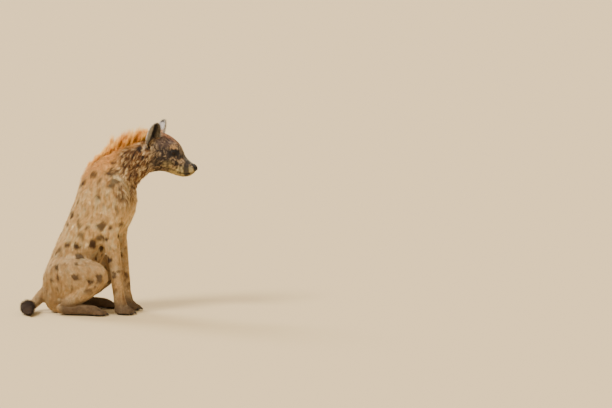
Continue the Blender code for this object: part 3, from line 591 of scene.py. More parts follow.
def distance_to_line(points, line):
    """Each point's distance from a line of corners, and whether it lies above it, in the XZ plane."""
    best = np.full(len(points), 1e9)
    above = np.zeros(len(points))
    flat = points[:, [0, 2]]
    for start, end in zip(line[:-1], line[1:]):
        start, end = np.array(start), np.array(end)
        along = end - start
        share = np.clip(((flat - start) @ along) / (along @ along), 0, 1)
        offset = flat - (start + share[:, None] * along)
        gap = np.linalg.norm(offset, axis=1)
        closer = gap < best
        best = np.where(closer, gap, best)
        above = np.where(closer, offset[:, 1], above)
    return best, above


def skin_depth(points):
    """How far under the solids the skin lies."""
    _, sizes, _ = growth(points)
    depth = sizes[:, 0] * np.sin(sizes[:, 2])
    local = points - SHIFT_ARRAY
    right = on_right(local)
    from_eye = np.linalg.norm(right - np.array(EYE_AT), axis=1)
    depth *= 0.15 + 0.85 * smoothstep(0.018, 0.034, from_eye)
    from_mouth, _ = distance_to_line(mouth_level(local), MOUTH)
    depth *= 0.3 + 0.7 * smoothstep(0.003, 0.012, from_mouth)
    from_ear = np.linalg.norm((right - EAR_MIDDLE) / EAR_HALF_SIZE, axis=1)
    depth *= 0.15 + 0.85 * smoothstep(0.8, 1.15, from_ear)
    return depth


def carve_face(points, normals):
    """The groove between the lips, the lips' soft edges and the folds of the face."""
    local = points - SHIFT_ARRAY
    gap, above = distance_to_line(mouth_level(local), MOUTH)
    on_face = smoothstep(0.376, 0.392, local[:, 0])
    signed = np.where(above > 0, gap, -gap)
    relief = LIP_RIDGE[0] * hump(signed - LIP_RIDGE_UP, LIP_RIDGE[1])
    relief = (relief - LIP_GROOVE[0] * hump(gap, LIP_GROOVE[1])) * on_face
    parting = hump(local[:, 1], LIP_PARTING[1]) * smoothstep(0.470, 0.480, local[:, 0])
    relief -= LIP_PARTING[0] * parting * (above > 0) * smoothstep(0.726, 0.720, local[:, 2])
    on_side = smoothstep(0.008, 0.022, np.abs(local[:, 1])) * smoothstep(0.330, 0.345, local[:, 0])
    for line, depth, width in FACE_FOLDS:
        gap, _ = distance_to_line(local, line)
        relief -= depth * hump(gap, width) * on_side
    return points + normals * relief[:, None]


def carve_toes(points, normals):
    """Gaps between the toes, deeper than in the solids."""
    local = on_right(points - SHIFT_ARRAY)
    for toes in (FORE_TOES, HIND_TOES):
        pitch = toes["half"] * TOE_PITCH
        from_gap = np.abs((local[:, 1] - toes["y"]) / pitch)
        from_gap = np.where(from_gap < 1.5, np.abs(from_gap - np.round(from_gap)), 1) * pitch
        start, front = toes["reach"][0] - 0.046, toes["reach"][1] + 0.025
        ahead = smoothstep(start, start + 0.024, local[:, 0]) * (local[:, 0] < front)
        low = smoothstep(0.052, 0.038, local[:, 2])
        sink = TOE_GAP[0] * hump(from_gap, TOE_GAP[1]) * ahead * low
        points = points - normals * sink[:, None]
    return points


def thin_out(piece, chosen, ratio):
    """Decimates the chosen vertices' part of the piece to this share of its faces."""
    make_active(piece)
    mesh = piece.data
    mesh.polygons.foreach_set("select", np.zeros(len(mesh.polygons), bool))
    mesh.edges.foreach_set("select", np.zeros(len(mesh.edges), bool))
    mesh.vertices.foreach_set("select", chosen)
    bpy.context.tool_settings.mesh_select_mode = (True, False, False)
    bpy.ops.object.mode_set(mode="EDIT")
    bpy.ops.mesh.decimate(ratio=ratio)
    bpy.ops.object.mode_set(mode="OBJECT")


def on_head(points, start):
    """Which of the points lie ahead of and above this start of the head, as (x, z)."""
    local = points - SHIFT_ARRAY
    return (local[:, 0] > start[0]) & (local[:, 2] > start[1])


def make_skin():
    """One closed surface through all the flesh, sunk under the solids by the coat's depth."""
    flesh = copy_of_nodes(FLESH, "skin")
    balls = [add_ball(Vector(place) + SHIFT, radius, 20, 12) for place, radius in TAIL_CORE]
    skin = joined([flesh] + balls, "skin")
    apply_modifier(skin, "REMESH", mode="VOXEL", voxel_size=SKIN_VOXEL)
    apply_modifier(skin, "SMOOTH", factor=0.5, iterations=6)
    points, normals = points_of(skin), normals_of(skin)
    points -= normals * skin_depth(points)[:, None]
    points = carve_toes(carve_face(points, normals), normals)
    points[:, 2] = np.maximum(points[:, 2], SKIN_OVER_FLOOR)
    move_points(skin, points)
    thin_out(skin, ~on_head(points, HEAD_FROM), BODY_KEPT)
    thin_out(skin, on_head(points_of(skin), HEAD_WITHIN), HEAD_KEPT)
    with editing(skin):
        bpy.ops.mesh.quads_convert_to_tris()
    bpy.ops.object.shade_smooth()
    return skin


# Materials.

class Value:
    """A number or colour that varies over a surface. Sums of it become Math nodes."""

    def __init__(self, finish, socket):
        self.finish = finish
        self.socket = socket

    def other(self, name):
        """Another output of the same node."""
        return Value(self.finish, self.socket.node.outputs[name])

    def __add__(self, right):
        return self.finish.math("ADD", self, right)

    def __sub__(self, right):
        return self.finish.math("SUBTRACT", self, right)

    def __rsub__(self, left):
        return self.finish.math("SUBTRACT", left, self)

    def __mul__(self, right):
        return self.finish.math("MULTIPLY", self, right)

    __radd__ = __add__
    __rmul__ = __mul__


class Finish:
    """One material and the nodes that paint it."""

    def __init__(self, name):
        self.material = bpy.data.materials.new(name)
        self.material.use_nodes = True
        self.tree = self.material.node_tree
        self.tree.nodes.clear()

    def node(self, kind, settings=None, inputs=None, output=0):
        """A node of this kind, with its settings and then its sockets set, as one of its outputs."""
        made = self.tree.nodes.new(kind)
        for key, value in (settings or {}).items():
            setattr(made, key, value)
        for key, value in (inputs or {}).items():
            if isinstance(value, Value):
                self.tree.links.new(value.socket, made.inputs[key])
            else:
                made.inputs[key].default_value = value
        return Value(self, made.outputs[output]) if made.outputs else made

    def math(self, operation, left, right):
        """A number worked out from two."""
        return self.node("ShaderNodeMath", {"operation": operation}, {0: left, 1: right})

    def vector(self, operation, left, right, output=0):
        """A place or direction worked out from two, or a number as its output Value."""
        return self.node("ShaderNodeVectorMath", {"operation": operation}, {0: left, 1: right}, output)

    def length(self, place):
        """How far the place is from zero."""
        return self.node("ShaderNodeVectorMath", {"operation": "LENGTH"}, {0: place}, "Value")

    def mix(self, share, first, second):
        """The first colour where share is 0 and the second where it is 1."""
        inputs = {0: share, 6: first, 7: second}
        return self.node("ShaderNodeMix", {"data_type": "RGBA"}, inputs, 2)

    def shade(self, colour, share):
        """The colour made darker or lighter by a number."""
        grey = self.node("ShaderNodeCombineXYZ", None, {0: share, 1: share, 2: share})
        settings = {"data_type": "RGBA", "blend_type": "MULTIPLY"}
        return self.node("ShaderNodeMix", settings, {0: 1.0, 6: colour, 7: grey}, 2)

    def rise(self, value, low, high):
        """Rises softly from 0 at low to 1 at high."""
        inputs = {"Value": value, "From Min": low, "From Max": high}
        return self.node("ShaderNodeMapRange", {"interpolation_type": "SMOOTHSTEP"}, inputs)

    def fall(self, value, low, high):
        """Falls softly from 1 at low to 0 at high."""
        return 1 - self.rise(value, low, high)

    def between(self, value, low, high, soft):
        """About 1 between low and high, with soft edges."""
        return self.rise(value, low - soft, low + soft) * self.fall(value, high - soft, high + soft)

    def noise(self, place, scale, detail=2.0, output=0):
        """A soft random number or colour, about 1 / scale across."""
        inputs = {"Vector": place, "Scale": scale, "Detail": detail}
        return self.node("ShaderNodeTexNoise", None, inputs, output)

    def stretched(self, place, scales):
        """The place with each axis scaled on its own, so that a pattern runs along the long one."""
        return self.vector("MULTIPLY", place, scales)

    def slanted(self, place, slope, across, along):
        """The place for streaks that run down and forward by this slope."""
        axes = self.node("ShaderNodeSeparateXYZ", None, {0: place})
        x, y, z = axes.other("X"), axes.other("Y"), axes.other("Z")
        return self.node(
            "ShaderNodeCombineXYZ", None, {0: (x + z * slope) * across, 1: y * across, 2: z * along}
        )

    def patch(self, place, centre, radii, soft=0.3):
        """1 inside an egg of these radii round the centre, with a soft edge."""
        share = self.vector("DIVIDE", self.vector("SUBTRACT", place, centre), radii)
        return self.fall(self.length(share), 1 - soft, 1 + soft)

    def attribute(self, name, output="Fac"):
        """What the mesh holds under this name."""
        return self.node("ShaderNodeAttribute", {"attribute_name": name}, None, output)

    def object_place(self):
        """The place in the model."""
        return self.node("ShaderNodeTexCoord", None, None, "Object")

    def surface(self, colour, roughness, normal=None, **constants):
        """The shader with what varies over the surface, and constants on its own sockets."""
        inputs = {"Base Color": colour, "Roughness": roughness}
        if normal:
            inputs["Normal"] = normal
        for name, value in constants.items():
            inputs[name.replace("_", " ")] = value
        shader = self.node("ShaderNodeBsdfPrincipled", None, inputs)
        self.node("ShaderNodeOutputMaterial", None, {"Surface": shader})
        return self.material

    def bump(self, height, strength, distance):
        """The relief of this height, for the shader's normal."""
        inputs = {"Height": height, "Strength": strength, "Distance": distance}
        return self.node("ShaderNodeBump", None, inputs)


def coat_colour(finish, place):
    """The markings of skin and coat alike, by their place on the body, with painted shade behind the
    ear and on the nape.
    """
    mix, rise, fall, between = finish.mix, finish.rise, finish.fall, finish.between
    noise, vector = finish.noise, finish.vector
    body = vector("SUBTRACT", place, tuple(SHIFT))
    axes = finish.node("ShaderNodeSeparateXYZ", None, {0: body})
    x, y, z = axes.other("X"), axes.other("Y"), axes.other("Z")
    side = finish.math("ABSOLUTE", y, 0.0)
    half = finish.node("ShaderNodeCombineXYZ", None, {0: x, 1: side, 2: z})

    def patch(name, at=half):
        """How far this patch of the markings covers the place."""
        return finish.patch(at, *PATCHES[name])

    drift = noise(body, 26.0, 3.0, "Color")
    drift = vector("SUBTRACT", drift, (0.5, 0.5, 0.5))
    drift = vector("MULTIPLY", drift, (0.055, 0.055, 0.055))
    loose = vector("ADD", body, drift)
    mottle = noise(body, 38.0, 4.0)
    grizzle = noise(body, 420.0, 2.0)

    # The sides are sand with brown and pale wisps, and ginger towards the mane.
    wisp = noise(finish.stretched(loose, (64.0, 64.0, 20.0)), 1.0, 3.0)
    colour = mix(rise(wisp, 0.30, 0.46), SAND_BROWN, SAND)
    colour = mix(rise(wisp + (mottle - 0.5) * 0.5, 0.48, 0.64), colour, SAND_PALE)
    crest_gap = z - (x * 0.42 + 0.752)
    upper = rise(crest_gap + (mottle - 0.5) * 0.09, -0.150, 0.040)
    upper = upper * fall(x, 0.25, 0.31) * rise(x, -0.13, -0.05)
    colour = mix(upper * 0.9, colour, GINGER)
    colour = mix(fall(z, 0.20, 0.44) * 0.55, colour, LEG)

    # Spots, uneven in size and edge, on the trunk and the thick of the legs.
    cell = finish.node(
        "ShaderNodeTexVoronoi", None, {"Vector": loose, "Scale": 18.5, "Randomness": 0.80}
    )
    chance = finish.node("ShaderNodeSeparateXYZ", None, {0: cell.other("Color")})
    reach = chance.other("X") * 0.24 + 0.22
    spot = fall(cell.other("Distance") - reach, -0.08, 0.06)
    spotted = fall(x, 0.12, 0.20) * rise(z, 0.09, 0.16)
    spotted = spotted * fall(z, 0.74, 0.82) * rise(side, 0.015, 0.050)
    colour = mix(spot * spotted * (chance.other("Y") * 0.35 + 0.60), colour, SPOT)

    # The neck and chest are brown, mottled with dark and with pale streaks down them.
    neck = between(x + (mottle - 0.5) * 0.08, 0.120, 0.300, 0.030) * rise(z, 0.48, 0.64)
    neck = neck * fall(crest_gap + (mottle - 0.5) * 0.05, -0.008, 0.030)
    streak = noise(finish.slanted(loose, 0.45, 105.0, 26.0), 1.0, 3.0)
    # Painted shade: the streaks are darkened behind the ear and on the nape.
    streak = streak - (patch("painted shade behind the ear") + patch("painted shade on the nape") * 0.8) * 0.050
    neck_colour = mix(rise(streak, 0.40, 0.52), NECK_DARK, NECK_BROWN)
    neck_colour = mix(rise(streak, 0.52, 0.60), neck_colour, NECK_PALE)
    colour = mix(neck, colour, neck_colour)

    # The blotches that the near side shows, and the pale edge before the shoulder.
    blotches = patch("neck blotch", loose) + patch("back blotch", loose)
    blotches = blotches + patch("shoulder blotch", loose)
    colour = mix(blotches * 0.9, colour, SPOT)
    shoulder = vector("SUBTRACT", half, (0.075, 0.0, 0.615))
    shoulder = finish.stretched(shoulder, (1.0, 0.0, 1.0))
    edge = between(finish.length(shoulder) + (mottle - 0.5) * 0.02, 0.079, 0.091, 0.006)
    edge = edge * rise(x, 0.080, 0.100) * rise(z, 0.590, 0.620)
    colour = mix(edge * rise(side, 0.05, 0.07) * 0.85, colour, SAND_PALE)

    # The head is grizzled grey, reddish over the forehead and dark along the muzzle.
    head = rise(x, 0.262, 0.305) * rise(z, 0.60, 0.68)
    cloud = noise(body, 75.0, 3.0)
    brindle = noise(finish.slanted(body, 0.10, 150.0, 46.0), 1.0, 3.0)
    speckle = grizzle * 0.55 + brindle * 0.9 + (cloud - 0.5) * 0.35 - patch("cheek") * 0.06
    face = mix(rise(speckle, 0.71, 0.86), HEAD_DARK, HEAD_PALE)
    face = mix(patch("temple") * 0.65, face, TEMPLE)
    forehead = patch("forehead", loose) * rise(brindle + (grizzle - 0.5) * 0.5, 0.34, 0.66)
    face = mix(forehead * 0.85, face, FOREHEAD)
    cream = patch("lips") + patch("jaw") * 0.35
    face = mix(cream * rise(brindle + grizzle * 0.3, 0.50, 0.64), face, LIP_CREAM)
    bands = patch("front lip band") * 0.9 + patch("rear lip band") * 0.4
    face = mix(patch("muzzle") + bands, face, MUZZLE)
    grey = patch("muzzle grey") * rise(cloud, 0.36, 0.58)
    face = mix(grey * 0.9, face, MUZZLE_GREY)

    # The line of the lips, which curves up behind, is black, and so is round the nose and eye.
    from_low = finish.math("MINIMUM", x, 0.474) - 0.450
    lip_rise = fall(side, 0.000, 0.016) * rise(x, 0.466, 0.484) * LIP_RISE
    lip_gap = finish.math("ABSOLUTE", z - (from_low * from_low * 5.5 + 0.706) - lip_rise, 0.0)
    lips = fall(lip_gap, 0.0012, 0.0028) * rise(x, 0.374, 0.384) + patch("lip parting")
    face = mix(lips + patch("nose"), face, BARE_BLACK)
    face = mix(patch("brow") * rise(brindle, 0.38, 0.56) * 0.9, face, BROW_PALE)
    face = mix(patch("eye") + patch("tear") * 0.7, face, EYE_PATCH)
    colour = mix(head, colour, face)

    # The ears are tan behind, black inside towards the back, grey in front, with a pale rim.
    ear = patch("ear") * rise(z - x * 0.25, 0.792, 0.812)
    ear_back = mix(rise(z + (grizzle - 0.5) * 0.02, 0.870, 0.900), EAR_BACK, EAR_LIGHT)
    ear_back = mix(rise(z + (grizzle - 0.5) * 0.02, 0.940, 0.952), ear_back, EAR_DARK)
    colour = mix(ear, colour, ear_back)
    colour = mix(patch("ear root"), colour, GINGER)
    ahead = x - ((z - EAR_BASE[2]) * EAR_LEAN + EAR_BASE[0]) + (grizzle - 0.5) * 0.012
    hollow = mix(rise(ahead, -0.006, 0.014), EAR_DARK, EAR_GREY)
    hollow = mix(fall(ahead, -0.020, -0.014) * 0.8, hollow, EAR_RIM)
    colour = mix(finish.attribute("inner"), colour, hollow)
    colour = mix(finish.attribute("rim") * 0.9, colour, EAR_RIM)

    # Dark feet and a black end to the tail.
    feet = fall(z + (mottle - 0.5) * 0.04, 0.035, 0.115) * rise(x, -0.20, -0.15)
    colour = mix(feet * 0.85, colour, FOOT)
    pads = fall(z, 0.007, 0.013) * rise(x, -0.17, -0.14)
    colour = mix(pads, colour, BARE_BLACK)
    tail_end = fall(x, -0.325, -0.300) * fall(y, -0.080, -0.030) * fall(z, 0.09, 0.12)
    colour = mix(tail_end, colour, TAIL_BLACK)
    return finish.shade(colour, grizzle * 0.30 + 0.85)


def skin_finish():
    """Hide under the coat, darkened as painted shade under the hair, with the relief of short hair."""
    finish = Finish("skin")
    place = finish.object_place()
    colour = coat_colour(finish, place)
    # Painted shade: the skin between the tufts is darkened like the tufts' roots, for the shade under
    # the coat.
    colour = finish.shade(colour, 0.62)
    hair = finish.noise(finish.stretched(place, (900.0, 900.0, 260.0)), 1.0, 2.0)
    return finish.surface(colour, 0.85, finish.bump(hair, 0.5, 0.001))


def coat_finish():
    """Short hair: each tuft takes the markings at its root, is darker there as painted shade deep in
    the coat, and pales towards its tip.
    """
    finish = Finish("coat")
    root = finish.attribute("root", "Vector")
    colour = coat_colour(finish, root)
    tip, tone = finish.attribute("tip"), finish.attribute("tone")
    # Painted shade: each tuft darkens towards its root; it pales towards its tip and its tone varies
    # at random.
    colour = finish.shade(colour, (tip * 0.55 + 0.62) * (tone * 0.42 + 0.79))
    return finish.surface(colour, 0.62 + tone * 0.15)


def long_hair_finish(name, dark, light, root_painted_shade=0.50):
    """Long hair between two colours, darker at the root as painted shade among the hairs."""
    finish = Finish(name)
    tip, tone = finish.attribute("tip"), finish.attribute("tone")
    colour = finish.mix(tone, dark, light)
    # Painted shade: the hair darkens towards its root.
    colour = finish.shade(colour, tip * (1.10 - root_painted_shade) + root_painted_shade)
    return finish.surface(colour, 0.55 + tone * 0.15)


# The coat.

def blade_template(rings):
    """Faces of one three-sided hair with this many rings, and its tip, the underside first."""
    below, above = [], []
    for ring in range(rings - 1):
        a, b = ring * 3, ring * 3 + 3
        below += [(a, a + 1, b + 1), (a, b + 1, b)]
        above += [(a + 1, a + 2, b + 2), (a + 1, b + 2, b + 1)]
        above += [(a + 2, a, b), (a + 2, b, b + 2)]
    last, tip = (rings - 1) * 3, rings * 3
    below += [(0, 2, 1), (last, last + 1, tip)]
    above += [(last + 1, last + 2, tip), (last + 2, last, tip)]
    return np.array(below + above)


def set_field(mesh, name, values):
    """Gives each point of the mesh a number, under this name."""
    field = mesh.attributes.new(name, "FLOAT", "POINT")
    field.data.foreach_set("value", values.astype(np.float32))


def hair_mesh(name, roots, spines, across, heights, thickness, unwrapped, attributes):
    """Joined tapered hairs. spines is (hairs, rings + 1, 3), across and heights are directions."""
    hairs, rings = spines.shape[0], spines.shape[1] - 1
    shares = np.linspace(0, 1, rings + 1)
    taper = (1.0, 0.92, 0.66)
    points = np.empty((hairs, rings * 3 + 1, 3))
    uvs = np.empty((hairs, rings * 3 + 1, 2))
    for ring in range(rings):
        middle = spines[:, ring]
        half = across * (thickness[:, None] / 2 * taper[ring])
        rise_by = heights * (thickness[:, None] * 0.38 * taper[ring])
        points[:, ring * 3] = middle - half
        points[:, ring * 3 + 1] = middle + half
        points[:, ring * 3 + 2] = middle + rise_by
        level = BAKE_PATCH * (shares[ring] - 0.5)
        uvs[:, ring * 3] = unwrapped + [-BAKE_PATCH / 2, level]
        uvs[:, ring * 3 + 1] = unwrapped + [BAKE_PATCH / 2, level]
        uvs[:, ring * 3 + 2] = unwrapped + [0, level - BAKE_PATCH * 0.06]
    points[:, -1] = spines[:, -1]
    uvs[:, -1] = unwrapped + [0, BAKE_PATCH / 2]
    points[:, :, 2] = np.maximum(points[:, :, 2], HAIR_OVER_FLOOR)

    template = blade_template(rings)
    count = rings * 3 + 1
    faces = (template[None] + (np.arange(hairs) * count)[:, None, None]).reshape(-1, 3)
    mesh = bpy.data.meshes.new(name)
    mesh.vertices.add(hairs * count)
    mesh.vertices.foreach_set("co", points.astype(np.float32).ravel())
    mesh.loops.add(len(faces) * 3)
    mesh.loops.foreach_set("vertex_index", faces.astype(np.int32).ravel())
    mesh.polygons.add(len(faces))
    mesh.polygons.foreach_set("loop_start", np.arange(len(faces), dtype=np.int32) * 3)
    mesh.polygons.foreach_set("use_smooth", np.ones(len(faces), bool))
    layer = mesh.uv_layers.new(name="OFBake")
    layer.data.foreach_set("uv", uvs.reshape(-1, 2)[faces.ravel()].astype(np.float32).ravel())
    root = mesh.attributes.new("root", "FLOAT_VECTOR", "POINT")
    root.data.foreach_set("vector", np.repeat(roots, count, axis=0).astype(np.float32).ravel())
    along = np.append(np.repeat(shares[:rings], 3), 1.0)
    set_field(mesh, "tip", np.tile(along, hairs))
    for key, values in attributes.items():
        set_field(mesh, key, np.repeat(values, count))
    mesh.update(calc_edges=True)
    mesh.validate()
    piece = bpy.data.objects.new(name, mesh)
    bpy.context.scene.collection.objects.link(piece)
    return piece


def unwrap_about(points, axis):
    """Places of the points on the skin rolled out about an axis, filling the square."""
    origin, way = Vector(axis[0]), Vector(axis[1]).normalized()
    across = way.cross(Vector((0.0, 1.0, 0.0)))
    if across.length < 0.3:
        across = way.cross(Vector((1.0, 0.0, 0.0)))
    across.normalize()
    third = way.cross(across)
    local = points - np.array(origin)
    along = local @ np.array(way)
    turn = np.arctan2(local @ np.array(third), local @ np.array(across)) / (2 * math.pi) + 0.5
    order = along.argsort().argsort() / max(len(along) - 1, 1)
    level = (along - along.min()) / max(along.max() - along.min(), 1e-6)
    level = 0.5 * level + 0.5 * order
    return np.column_stack((0.004 + 0.992 * turn, 0.004 + 0.992 * level))


def spread_out(*numbers):
    """A place on the map for each hair, with these two numbers spread over the whole of it."""
    return np.column_stack([0.01 + 0.98 * (row - row.min()) / np.ptp(row) for row in numbers])


def skin_triangles(skin):
    """Corners and corner normals of the skin's triangles."""
    mesh = skin.data
    mesh.calc_loop_triangles()
    flat = np.empty(len(mesh.loop_triangles) * 3, np.int32)
    mesh.loop_triangles.foreach_get("vertices", flat)
    corners = flat.reshape(-1, 3)
    return points_of(skin)[corners], normals_of(skin)[corners]


def scatter(corners, normals, density, draw):
    """Roots spread evenly over the triangles, as dense as each one's number per square metre."""
    edges = np.cross(corners[:, 1] - corners[:, 0], corners[:, 2] - corners[:, 0])
    wanted = np.linalg.norm(edges, axis=1) / 2 * density
    total = np.cumsum(wanted)
    marks = np.arange(int(total[-1])) + draw.random()
    chosen = np.searchsorted(total, marks)
    chosen = chosen[chosen < len(corners)]
    first, second = np.sqrt(draw.random(len(chosen))), draw.random(len(chosen))
    shares = np.column_stack((1 - first, first * (1 - second), first * second))[:, :, None]
    places = (corners[chosen] * shares).sum(1)
    ups = unit((normals[chosen] * shares).sum(1))
    return places, ups


def grows_here(points, normals, nose):
    """0 where no coat grows: the eyes, nose, lips' edge and what lies on the floor. 1 elsewhere."""
    local = points - SHIFT_ARRAY
    from_eye = np.linalg.norm(on_right(local) - np.array(EYE_AT), axis=1)
    grows = smoothstep(0.0178, 0.0192, from_eye)
    from_mouth, _ = distance_to_line(mouth_level(local), MOUTH)
    near_lips = (local[:, 0] > 0.378) & (np.abs(local[:, 1]) < 0.08)
    grows *= np.where(near_lips, smoothstep(0.0010, 0.0022, from_mouth), 1)
    leather = BVHTree.FromObject(nose, bpy.context.evaluated_depsgraph_get())
    low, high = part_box("nose")
    close = (points > np.array(low) - 0.003).all(1) & (points < np.array(high) + 0.003).all(1)
    for index in np.flatnonzero(close):
        place = Vector(points[index])
        found, facing, _, gap = leather.find_nearest(place)
        if gap < 0.0012 or (place - found).dot(facing) < 0:
            grows[index] = 0
    grows *= np.where((points[:, 2] < 0.012) & (normals[:, 2] < -0.3), 0, 1)
    return grows


# The solids of the ears, to tell what belongs to an ear by how near it lies.
EAR_SOLIDS = {
    name: BVHTree.FromObject(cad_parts[name], bpy.context.evaluated_depsgraph_get())
    for name in ("ear_right", "ear_left")
}


def ear_shares(points, normals):
    """How far each point is in the hollow of an ear, and how far on its rim."""
    near = np.zeros(len(points))
    for name in ("ear_right", "ear_left"):
        low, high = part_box(name)
        inside = (points > np.array(low) - 0.004).all(1) & (points < np.array(high) + 0.004).all(1)
        for index in np.flatnonzero(inside):
            gap = EAR_SOLIDS[name].find_nearest(Vector(points[index]))[3]
            near[index] = 1.0 if gap < 0.0020 else 0.0 if gap > 0.0035 else 0.5
    local = points - SHIFT_ARRAY
    facing = on_right(local, normals) @ EAR_OPENS
    inner = near * smoothstep(0.10, 0.40, facing)
    rim = near * smoothstep(0.62, 0.30, np.abs(facing)) * smoothstep(0.862, 0.885, local[:, 2])
    return inner, rim


def make_ear_hair(skin):
    """The longer pale hairs that stand along the ears' rims and lean in over their hollows."""
    draw = np.random.default_rng(9)
    corners, corner_normals = skin_triangles(skin)
    middles, faces_up = corners.mean(1), unit(corner_normals.mean(1))
    inner, rim = ear_shares(middles, faces_up)
    right = on_right(middles - SHIFT_ARRAY)
    ahead = ahead_in_ear(right)
    low = smoothstep(0.875, 0.835, right[:, 2])
    front = smoothstep(-0.004, 0.018, ahead)
    density = rim * RIM_HAIRS + inner * (front * FRONT_HAIRS + low * LOW_HAIRS)
    places, ups = scatter(corners, corner_normals, density * FEWER, draw)
    inner, rim = ear_shares(places, ups)
    number = len(places)
    local = places - SHIFT_ARRAY
    side = np.where(local[:, 1] < 0, 1.0, -1.0)
    flip = np.column_stack((np.ones(number), side, np.ones(number)))
    ahead = ahead_in_ear(on_right(local))
    axis, opens = np.array(EAR_AXIS) * flip, np.array(EAR_OPENS) * flip
    inward = np.cross(axis, opens) * side[:, None] * np.sign(ahead)[:, None]
    lengths = draw.uniform(0.008, 0.017, number) * (1 - 0.35 * rim)
    inward = inward * (0.35 + 0.35 * draw.random(number))[:, None]
    ways = unit(axis * 0.9 + inward + opens * 0.22 + draw.normal(0, 0.10, (number, 3)))
    steps = [places]
    for way, share in ((unit(ways + ups * 0.45), 0.3), (ways, 0.35), (ways, 0.35)):
        steps.append(steps[-1] + way * (lengths * share)[:, None])
    spines = np.stack(steps, axis=1)
    side_on = np.cross(ways, opens)
    unwrapped = spread_out(local[:, 1], local[:, 2])
    tones = rim * 0.55 + smoothstep(0.0, 0.03, ahead) * 0.15 + draw.normal(0.22, 0.18, number)
    widths = draw.uniform(0.0005, 0.0009, number)
    piece = lay_hairs("ear_hair", places, spines, side_on, widths, unwrapped, np.clip(tones, 0, 1))
    finish_piece(piece, "ear_fur", long_hair_finish("ear_hair", EAR_GREY, EAR_RIM))


def make_coat(skin, nose, material):
    """Short hair over the whole skin, in pieces by part of the body."""
    draw = np.random.default_rng(7)
    corners, corner_normals = skin_triangles(skin)
    middles, faces_up = corners.mean(1), unit(corner_normals.mean(1))
    _, sizes, _ = growth(middles)
    density = OVERLAP / (sizes[:, 0] * sizes[:, 1]) * FEWER
    density = density * grows_here(middles, faces_up, nose)
    places, ups = scatter(corners, corner_normals, density, draw)
    ways, sizes, nearest = growth(places)
    number = len(places)

    lie = unit(ways - ups * (ways * ups).sum(1)[:, None])
    across = np.cross(ups, lie)
    sway = soft_noise(places, 0.045, 3) * 0.22 + soft_noise(places, 0.014, 4) * 0.14
    sway = sway + draw.normal(0, 0.10, number)
    lie = lie * np.cos(sway)[:, None] + across * np.sin(sway)[:, None]
    across = np.cross(ups, lie)
    lengths = sizes[:, 0] * draw.uniform(0.72, 1.18, number)
    widths = sizes[:, 1] * draw.uniform(0.7, 1.25, number) * WIDER
    lifts = sizes[:, 2] * draw.uniform(0.65, 1.35, number)
    lifts = lifts * (1 + 0.35 * soft_noise(places, 0.020, 5))
    inner, rim = ear_shares(places, ups)
    tone = np.clip(0.5 + 0.26 * soft_noise(places, 0.006, 6) + draw.normal(0, 0.2, number), 0, 1)

    parts = PARTS[nearest]
    local = places - SHIFT_ARRAY
    for part, (origin, way) in UNWRAP_AXES.items():
        bends = (1.45, 0.55) if part in LONG_HAIRED else (1.0,)
        for side, name in ((0, ""),) if part == "tail" else SIDES:
            chosen = (parts == part) & ((local[:, 1] * side > 0) | (side == 0))
            reach = lengths[chosen]
            steps = [places[chosen] - ups[chosen] * (reach * 0.03)[:, None]]
            for bend in bends:
                angle = lifts[chosen] * bend
                onward = lie[chosen] * np.cos(angle)[:, None] + ups[chosen] * np.sin(angle)[:, None]
                steps.append(steps[-1] + onward * (reach / len(bends))[:, None])
            middle = (origin[0], origin[1] * (side or 1), origin[2])
            piece = hair_mesh(
                f"coat_{part}_{name}".rstrip("_"),
                places[chosen],
                np.stack(steps, axis=1),
                across[chosen],
                ups[chosen],
                widths[chosen],
                unwrap_about(local[chosen], (middle, way)),
                {"tone": tone[chosen], "inner": inner[chosen], "rim": rim[chosen]},
            )
            finish_piece(piece, COAT_SLOTS.get(part, "coat"), material)


# The mane and the tail's tuft.

def lay_hairs(name, roots, spines, ups, widths, unwrapped, tones):
    """One piece of long hairs along these spines."""
    ways = unit(spines[:, -1] - spines[:, 0])
    across = unit(np.cross(ups, ways))
    facing = unit(np.cross(ways, across))
    return hair_mesh(name, roots, spines, across, facing, widths, unwrapped, {"tone": tones})


